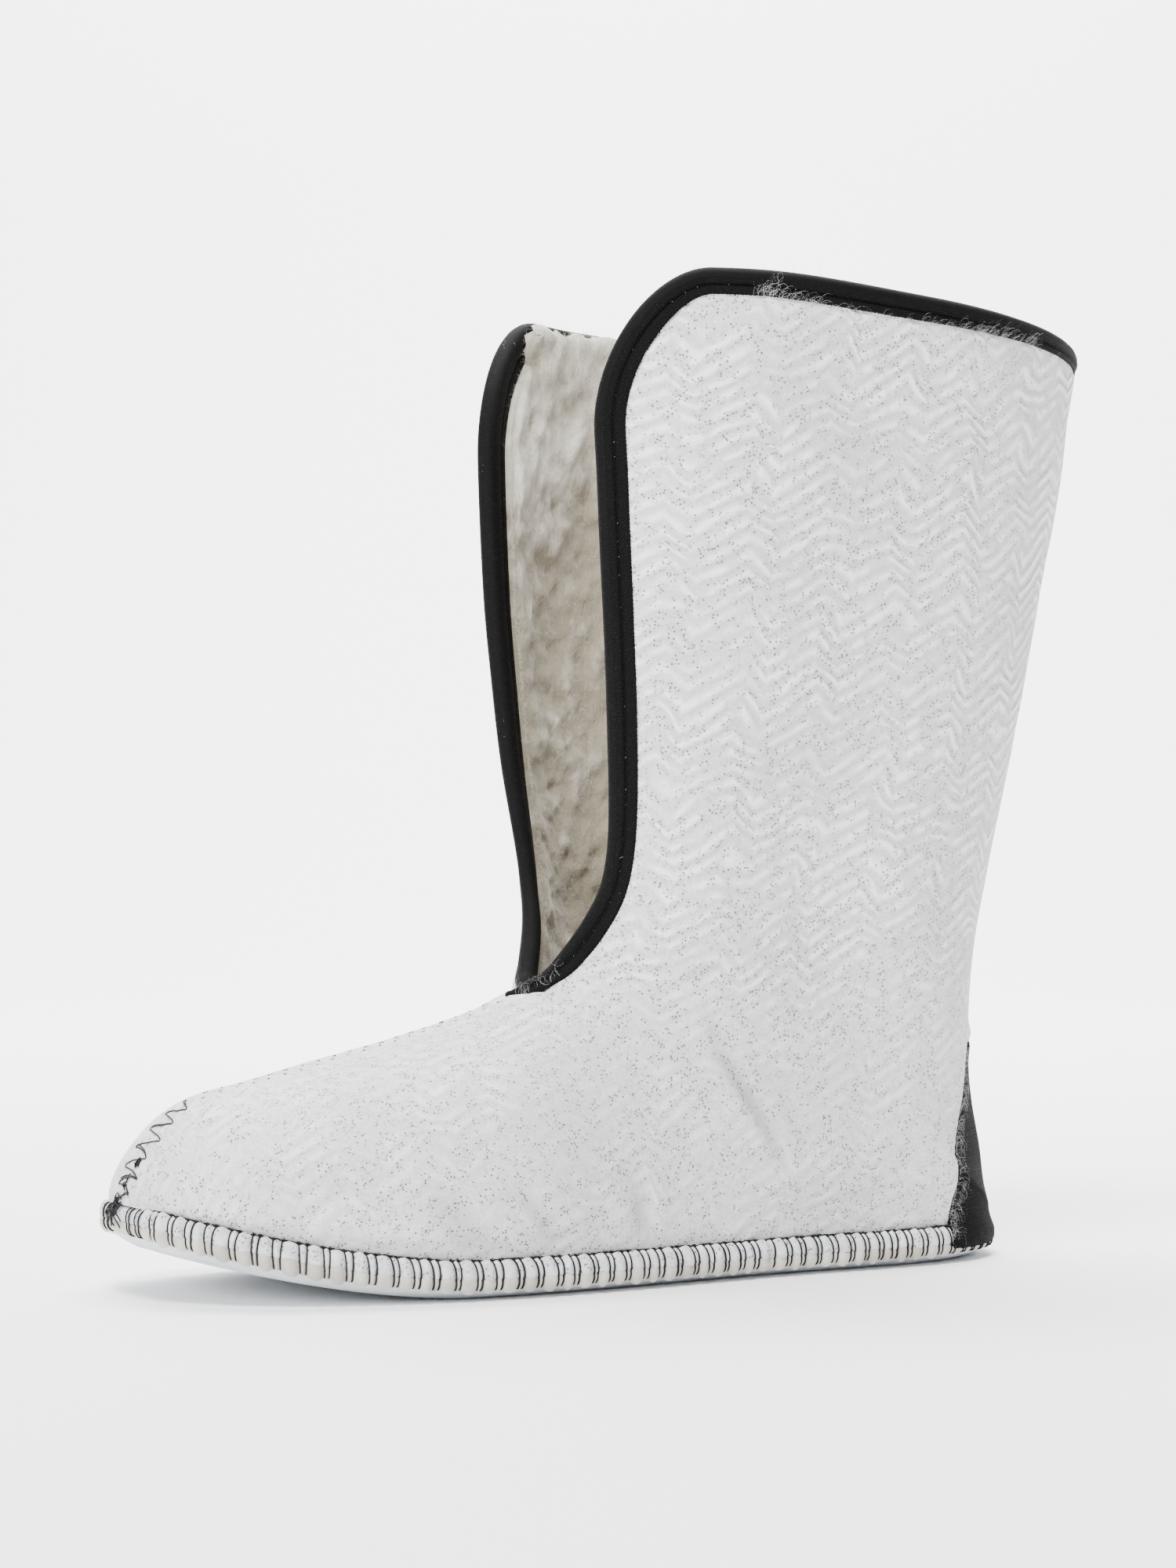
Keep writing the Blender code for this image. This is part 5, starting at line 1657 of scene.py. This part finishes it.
class LINER_OT_patch(bpy.types.Operator):
    """Black cloth over the back of the heel and down over the sole seam"""

    bl_idname = "liner.patch"
    bl_label = "Heel cloth"

    def execute(self, context):
        sizes, colors = context.scene.liner_sizes, context.scene.liner_colors
        rises = np.linspace(0.0, 1.0, PATCH_ROWS)
        around = np.linspace(-1.0, 1.0, PATCH_COLUMNS)
        heights = PATCH_FOOT + 0.6 * MM + (PATCH_HEIGHT - PATCH_FOOT) * rises
        chance = np.random.default_rng(61)
        wave = np.interp(rises, np.linspace(0, 1, 14), chance.normal(0.0, 0.12, 14)) * MM
        angles = around[None, :] * (patch_half(rises) + wave)[:, None] / HEEL_AXIS
        level_border = np.minimum(rises[:, None], 1.0 - rises[:, None]) * 2.0
        border = np.minimum(1.0 - np.abs(around[None, :]), level_border)
        lift = 0.25 * MM + 0.45 * MM * smooth(border / 0.05)
        radius = self.drawn_taut(self.reach(heights, angles)) + lift
        z = np.broadcast_to(heights[:, None], angles.shape)
        tuck = MM * smooth((0.04 - rises) / 0.04)[:, None]
        turned_in = round_heel(radius - PATCH_TURNED_IN, angles, z)
        edge = np.pad(turned_in, ((1, 1), (1, 1), (0, 0)), mode="edge")
        edge[1:-1, 1:-1] = round_heel(radius - tuck, angles, z)
        arc = np.concatenate([around[:1], around, around[-1:]])[None, :] * PATCH_HALF_BOTTOM / MM
        flat = on_cloth(arc, edge[..., 2] / MM)
        faces = four_corners(numbers(*edge.shape[:2]), True)
        add_piece("heel_cloth", edge, faces, cloth_material(colors, sizes), ("heel_patch",),
                  four_corners(flat, True))
        return {"FINISHED"}

    def felt_under_it(self):
        """What the cloth lies on, as a tree that rays can be cast at."""
        points, faces, base = [], [], 0
        for name in ("felt_upper", "felt_lip", "sole_plate"):
            places = vertices_of(name)
            mesh = bpy.data.objects[name].data
            quads = np.zeros(len(mesh.polygons) * 4, int)
            mesh.polygons.foreach_get("vertices", quads)
            quads = quads.reshape(-1, 4)
            close = (places[:, 0] < SHIFT + 0.06)[quads].all(1)
            points.append(places)
            faces.append(quads[close] + base)
            base += len(places)
        return BVHTree.FromPolygons(np.concatenate(points).tolist(), np.concatenate(faces).tolist())

    def reach(self, heights, angles):
        """How far the felt reaches from the heel's axis, seen from outside; gaps keep the value below."""
        tree = self.felt_under_it()
        far = 0.2
        found = np.zeros(angles.shape)
        for i, j in np.ndindex(angles.shape):
            way = Vector((-math.cos(angles[i, j]), math.sin(angles[i, j]), 0.0))
            level = max(heights[i], PUFF + 1.2 * MM)
            start = Vector((HEEL_AXIS + SHIFT, 0.0, level)) + way * far
            hit, _, _, distance = tree.ray_cast(start, -way)
            below = found[i - 1, j] if i else HEEL_AXIS
            found[i, j] = below if hit is None else far - distance
        return found

    def drawn_taut(self, reach):
        """The cloth's own reach, drawn tight over the hollows of what is under it."""
        taut = reach.copy()
        for _ in range(TAUT_PASSES):
            wide = np.pad(taut, 1, mode="edge")
            mean = (wide[:-2, 1:-1] + wide[2:, 1:-1] + wide[1:-1, :-2] + wide[1:-1, 2:]) / 4.0
            taut = np.maximum(mean, reach)
        return taut


# Places along a single thread
CURVE = np.linspace(0.0, 1.0, 14)


def loose_curve(ends):
    """Smooth runs of values, each led by four values, as of a thread lying loose."""
    return bezier(*(ends[:, k, None] for k in range(4)), CURVE)


def crest_run():
    """Length along the crest from the toe, against u."""
    u = np.linspace(0.003, U_THROAT, 500)
    return u, run_lengths(surface(u, 1.0, 1))


def beside_crest(u, off):
    """v at a distance down from the crest along the felt."""
    fine = np.linspace(1.0, 0.55, 60)
    v = np.zeros(off.shape)
    for index in np.ndindex(off.shape):
        v[index] = np.interp(abs(off[index]), run_lengths(surface(u[index], fine, 1)), fine)
    return v


class LINER_OT_seams(bpy.types.Operator):
    """Overlock strands and chain of the sole seam, zigzag over the vamp and the knots at the toe"""

    bl_idname = "liner.seams"
    bl_label = "Thread of the seams"

    def execute(self, context):
        sizes, colors = context.scene.liner_sizes, context.scene.liner_colors
        thread = thread_material(colors)
        self.sole_seam(sizes, thread)
        self.vamp_seam(sizes, thread)
        return {"FINISHED"}

    def sole_seam(self, sizes, thread):
        """Strands over the lip and the rim, the chain along the top and the knots between them."""
        radius = sizes.thread_radius
        lip_out, lip_up = smooth_profile(LIP_PROFILE, 13)
        rim_out, rim_up = smooth_profile(RIM_PROFILE, 16)
        out = np.concatenate([[lip_out[0] + 0.1 * MM], lip_out[1:12], rim_out[3:12]])
        up = np.concatenate([[lip_up[0] + 0.5 * MM], lip_up[1:12], rim_up[3:12]])
        shares = np.array([LIP_DOWN[0], *LIP_DOWN[1:12], *RIM_DOWN[3:12]])
        slope = profile_slope(out, up)
        bundles = []
        for side in SIDES:
            chance = chance_of(side, 71)
            seam = seam_strands(side, sizes)
            run = np.stack([strand_runs(seam, share) for share in shares], -1)
            run = run[chance.random(len(run)) < 0.97]
            count = len(run)
            over = radius * 0.6 + 0.35 * MM * chance.uniform(0.3, 1.0, (count, 1)) * np.sin(shares * math.pi)
            over = over + 0.4 * MM * (1.0 - smooth((run - 10 * MM) / (14 * MM))) * np.sin(shares * math.pi)
            over = over - 0.9 * MM * smooth((shares - 0.8) / 0.06)
            wide = out[None, :] - slope[:, 1] * over
            high = up[None, :] + slope[:, 0] * over
            thick = radius * chance.uniform(0.85, 1.15, (count, 1))
            bundles.append(thread_bundle(side, run, wide, high, thick))
            bundles.append(self.chain(side, radius, lip_out[1], lip_up[1], chance))
            bundles.append(self.knots(side, run[:, 0], radius, lip_out[1], lip_up[1], chance))
        bundles.append(self.toe_tangle(radius, lip_out[1]))
        points, faces = join_tubes(bundles)
        add_piece("seam_threads", points, faces, thread)

    def toe_tangle(self, radius, out):
        """Threads of both seams knotted over each other at the tip of the toe."""
        chance = np.random.default_rng(75)
        count = 16
        run = loose_curve(chance.normal(-2.0, 3.2, (count, 4))) * MM
        high = np.clip(loose_curve(chance.normal(8.4, 2.6, (count, 4))), 4.2, 12.5) * MM
        lean = 1.25 * MM + out * smooth((high - 9.0 * MM) / (2.5 * MM))
        wide = lean + chance.uniform(0.0, 0.7, (count, 1)) * MM * np.sin(CURVE * math.pi)
        paths, beyond = (np.where((run >= 0.0)[..., None], band_points(1, run, reach, high),
                                  band_points(-1, -run, reach, high)) for reach in (wide, wide + 1.0))
        return paths, beyond - paths, radius * 0.85, 6

    def chain(self, side, radius, out, up, chance):
        """Two threads twisted round each other along the top of the lip."""
        length = RUNS[side][1][-1]
        run = np.linspace(6.0 * MM, length - 1.0 * MM, 800)
        stray = 0.18 * MM * np.interp(run, np.linspace(0.0, length, 90), chance.normal(0.0, 0.7, 90))
        turn = run / (2.1 * MM) * math.pi + np.array([[0.0], [math.pi]])
        wide = out + 0.2 * MM + 0.14 * MM * np.cos(turn)
        high = up + 0.38 * MM + 0.2 * MM * np.sin(turn) + stray
        return thread_bundle(side, np.broadcast_to(run, wide.shape), wide, high, radius * 0.8)

    def knots(self, side, places, radius, out, up, chance):
        """Small loops where the strands leave the chain."""
        count = len(places)
        turn = np.linspace(0.0, 1.6 * math.pi, 9) + chance.uniform(0.0, 6.0, (count, 1))
        size = chance.uniform(0.25, 0.65, (count, 1)) * MM
        run = places[:, None] + size * np.cos(turn)
        high = up + 0.45 * MM + 0.55 * size * np.sin(turn)
        return thread_bundle(side, run, np.full(run.shape, out + 0.35 * MM), high, radius * 0.8, 5)

    def vamp_seam(self, sizes, thread):
        """Zigzag over the vamp: single strands, every second one doubled, sunk in farther from the toe."""
        radius = sizes.thread_radius * 0.95
        _, lengths = crest_run()
        chance = np.random.default_rng(81)
        turns = [3.0 * MM]
        while turns[-1] < lengths[-1] - 10.0 * MM:
            wide = smooth((turns[-1] - 6 * MM) / (10 * MM)) - 0.9 * smooth((turns[-1] - 30 * MM) / (10 * MM))
            turns.append(turns[-1] + sizes.zigzag_pitch * (0.48 + 0.14 * wide) * chance.uniform(0.85, 1.15))
        turns = np.array(turns)
        half = sizes.zigzag_width / 2.0 * (1.0 - 0.5 * smooth((turns - 22 * MM) / (20 * MM)))
        ways = np.where(np.arange(len(turns)) % 2 == 0, 1.0, -1.0)
        offs = ways * half * chance.uniform(0.85, 1.15, len(turns))
        runs = turns[:-1, None] + (turns[1:] - turns[:-1])[:, None] * CURVE
        runs = runs + chance.uniform(-0.4, 0.4, (len(runs), 1)) * MM * np.sin(CURVE * math.pi)
        eased = 0.45 * CURVE + 0.55 * (1.0 - np.cos(CURVE * math.pi)) / 2.0
        off = offs[:-1, None] + (offs[1:] - offs[:-1])[:, None] * eased
        ends = np.minimum(CURVE, 1.0 - CURVE)
        sunk = smooth((runs - 31 * MM) / (10 * MM)) * smooth((ends - 0.12) / 0.10)
        lift = radius * 0.9 - 0.7 * MM * (1.0 - smooth(ends / 0.09)) - 1.6 * MM * sunk
        thick = radius * (1.0 - 0.35 * smooth((runs - 31 * MM) / (10 * MM)))
        bundles = [(*self.on_felt(runs, off, lift), thick, 6)]
        twin = chance.random(len(runs)) < 0.5
        shift = 0.8 * MM * chance.uniform(0.6, 1.3, (len(runs), 1))
        beside = runs + shift * np.where(offs[:-1, None] > 0.0, CURVE, 1.0 - CURVE)
        bundles.append((*self.on_felt(beside[twin], 0.97 * off[twin], lift[twin]), radius * 0.85, 6))
        bundles.extend(self.toe_knots(radius * 0.85, chance))
        points, faces = join_tubes(bundles)
        add_piece("vamp_threads", points, faces, thread)

    def toe_knots(self, radius, chance):
        """Small tangles where the zigzag's thread was tied off."""
        for place, aside, size, count in TOE_KNOTS:
            ends = chance.normal(0.0, 0.5, (count, 4, 2)) * size * MM
            run = np.clip(place * MM + loose_curve(ends[..., 0]), 0.3 * MM, None)
            off = aside * MM + loose_curve(ends[..., 1])
            lift = np.abs(chance.normal(0.35, 0.35, (count, 1))) * MM * np.sin(CURVE * math.pi) + 0.15 * MM
            yield (*self.on_felt(run, off, lift), radius, 5)

    def on_felt(self, run, off, lift):
        """Paths beside the crest, lifted off the felt as it is drawn, and the felt's outward direction."""
        us, lengths = crest_run()
        u = np.interp(run, lengths, us)
        v = beside_crest(u, off)
        path = np.zeros((*run.shape, 3))
        above = np.zeros((*run.shape, 3))
        for side in SIDES:
            here = (off >= 0.0) if side == 1 else (off < 0.0)
            depth = felt_depth(u, v, side) - 0.3 * MM * np.exp(-(off / (1.5 * MM)) ** 2)
            path[here] = surface(u, v, side, depth - lift)[here]
            above[here] = surface(u, v, side, depth - lift - MM)[here]
        return path, unit(above - path)


class LINER_OT_hairs(bpy.types.Operator):
    """Loose felt fibres over the tape's border and the patch's edge, pile fibres at the far flap"""

    bl_idname = "liner.hairs"
    bl_label = "Loose fibres"

    def execute(self, context):
        colors = context.scene.liner_colors
        white = hair_material("loose felt fibre", colors.felt)
        cream = hair_material("loose pile fibre", colors.pile)
        for name, material, parts, shape, width in (
                ("tape_hairs", white, self.over_tape(), (2.6 * MM, 1.1 * MM, 2.2, 92, 11), 0.023 * MM),
                ("patch_hairs", white, self.over_patch(), (3.0 * MM, 1.0 * MM, 1.7, 96, 10), 0.020 * MM),
                ("pile_hairs", cream, self.along_pile(), (2.6 * MM, 1.2 * MM, 0.8, 98, 6), 0.09 * MM)):
            roots, lean, outward = (np.concatenate(group) for group in zip(*parts))
            paths, up = hairs(roots, lean, outward, *shape)
            points, faces = ribbons(paths, up, width)
            add_piece(name, points, faces, material)
        return {"FINISHED"}

    def over_tape(self):
        """Roots, lean and outward direction of the fibres pulled over the tape's border."""
        chance = np.random.default_rng(91)
        us, vs, run = edge_places(1.0 * MM)
        parts = []
        for side in SIDES:
            spans = ((245 * MM, 345 * MM, 330), (345 * MM, run[-1], 10), (0.0, 12 * MM, 22))
            where = np.sort(np.concatenate([chance.uniform(*span) for span in spans]))
            u0, v0 = np.interp(where, run, us), np.interp(where, run, vs)
            width = TAPE_WIDTH * tape_share(where)
            low, high = walk_from_edge(u0, v0, side, [width * 0.9, width * 1.12])
            a, b = surface(*high, side, -1.2 * MM), surface(*low, side, -1.7 * MM)
            parts.append((a, unit(b - a), away_from(*high, side)))
        return parts

    def over_patch(self):
        """The same for the fibres over both upright borders of the heel cloth."""
        chance = np.random.default_rng(95)
        grid = vertices_of("heel_cloth").reshape(PATCH_ROWS + 2, PATCH_COLUMNS + 2, 3)
        parts = []
        for border, inner in ((grid[3:-2, 2], grid[3:-2, 6]), (grid[3:-2, -3], grid[3:-2, -7])):
            at = chance.uniform(2, len(border) - 2, 170)
            spot = np.arange(len(border))
            a = np.stack([np.interp(at, spot, border[:, k]) for k in range(3)], -1)
            b = np.stack([np.interp(at, spot, inner[:, k]) for k in range(3)], -1)
            centre = np.array([SHIFT + HEEL_AXIS, 0.0, 0.0])
            outward = unit((a - centre) * np.array([1.0, 1.0, 0.0]))
            lean = unit(b - a)
            parts.append((a - lean * 0.8 * MM + outward * 0.1 * MM, lean, outward))
        return parts

    def along_pile(self):
        """The same for the pile's fibres along the inside of the tape."""
        chance = np.random.default_rng(97)
        us, vs, run = edge_places(1.0 * MM)
        parts = []
        for side in SIDES:
            where = np.sort(chance.uniform(10 * MM, run[vs < 0.95][0], 1300))
            u0, v0 = np.interp(where, run, us), np.interp(where, run, vs)
            low, high = walk_from_edge(u0, v0, side, [TAPE_WIDTH * 0.8, TAPE_WIDTH + 1.0 * MM])
            depth = EDGE_WALL + 2.6 * MM
            a, b = surface(*high, side, depth), surface(*low, side, depth)
            parts.append((a, unit(b - a), away_from(*high, side, depth, 1.0)))
        return parts


class LINER_OT_stage(bpy.types.Operator):
    """Pale floor, soft lights and the camera at the photograph's angle"""

    bl_idname = "liner.stage"
    bl_label = "Floor, lights and camera"

    def execute(self, context):
        colors = context.scene.liner_colors
        bend = np.linspace(0.0, 1.0, 40)[1:] * math.pi / 2.0
        depth = np.concatenate([np.linspace(FLOOR_FRONT, FLOOR_BACK, 12), FLOOR_BACK - np.sin(bend)])
        rise = np.concatenate([np.zeros(12), 1.0 - np.cos(bend)])
        depth, rise = np.append(depth, depth[-1]), np.append(rise, BACKDROP_HEIGHT)
        look = np.array(LOOK)
        right = np.array([-look[1], look[0]])
        rows = []
        for d, z in zip(depth, rise):
            middle = -look * d
            rows.append([[*(middle + right * w), z] for w in np.linspace(-FLOOR_SIDE, FLOOR_SIDE, 9)])
        rows = np.array(rows)
        mesh = bpy.data.meshes.new("floor")
        mesh.from_pydata(rows.reshape(-1, 3).tolist(), [], four_corners(numbers(*rows.shape[:2])).tolist())
        mesh.shade_smooth()
        mesh.materials.append(cloudy_material("pale floor", colors.floor, 1.01, 2.0, 2.0, 0.85))
        floor = bpy.data.objects.new("floor", mesh)
        context.scene.collection.objects.link(floor)
        world = bpy.data.worlds.new("soft room")
        world.use_nodes = True
        world.node_tree.nodes["Background"].inputs[0].default_value = ROOM_COLOR
        world.node_tree.nodes["Background"].inputs[1].default_value = ROOM_STRENGTH
        context.scene.world = world
        for light in LIGHTS:
            self.add_light(*light)
        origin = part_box("sole")[0][0] + LOOKED_AT
        camera = bpy.data.objects.new("camera", bpy.data.cameras.new("camera"))
        context.scene.collection.objects.link(camera)
        camera.location = (origin - LOOK[0], -LOOK[1], CAMERA_HEIGHT)
        camera.rotation_euler = Vector((*LOOK, 0.0)).to_track_quat("-Z", "Y").to_euler()
        camera.data.sensor_fit = "VERTICAL"
        camera.data.sensor_height = 36.0
        camera.data.lens = CAMERA_LENS
        camera.data.shift_y = CAMERA_SHIFT
        context.scene.camera = camera
        return {"FINISHED"}

    def add_light(self, name, place, target, size, power, color):
        """A square lamp turned to its target."""
        light = bpy.data.lights.new(name, "AREA")
        light.shape = "SQUARE"
        light.size = size
        light.energy = power
        light.color = color
        lamp = bpy.data.objects.new(name, light)
        bpy.context.scene.collection.objects.link(lamp)
        lamp.location = place
        lamp.rotation_euler = (Vector(target) - lamp.location).to_track_quat("-Z", "Y").to_euler()


class LINER_PT_panel(bpy.types.Panel):
    """Lists the steps that build the liner"""

    bl_idname = "LINER_PT_panel"
    bl_label = "Felt boot liner"
    bl_space_type = "VIEW_3D"
    bl_region_type = "UI"
    bl_category = "Liner"

    def draw(self, context):
        for group in (context.scene.liner_sizes, context.scene.liner_colors):
            for name in group.bl_rna.properties.keys():
                if name not in ("rna_type", "name"):
                    self.layout.prop(group, name)
        for operator in OPERATORS:
            self.layout.operator(operator.bl_idname)


OPERATORS = (LINER_OT_felt, LINER_OT_sole, LINER_OT_lining, LINER_OT_tape, LINER_OT_patch, LINER_OT_seams,
             LINER_OT_hairs, LINER_OT_stage)
CLASSES = (LinerSizes, LinerColors, *OPERATORS, LINER_PT_panel)


def register():
    """Adds the classes, and the sizes and colours, to the running session."""
    for item in CLASSES:
        bpy.utils.register_class(item)
    bpy.types.Scene.liner_sizes = bpy.props.PointerProperty(type=LinerSizes)
    bpy.types.Scene.liner_colors = bpy.props.PointerProperty(type=LinerColors)


def unregister():
    """Takes them away again."""
    del bpy.types.Scene.liner_colors
    del bpy.types.Scene.liner_sizes
    for item in reversed(CLASSES):
        bpy.utils.unregister_class(item)


def main():
    """Builds every piece."""
    register()
    bpy.ops.liner.felt()
    bpy.ops.liner.sole()
    bpy.ops.liner.lining()
    bpy.ops.liner.tape()
    bpy.ops.liner.patch()
    bpy.ops.liner.seams()
    bpy.ops.liner.hairs()
    bpy.ops.liner.stage()


if __name__ == "__main__":
    main()
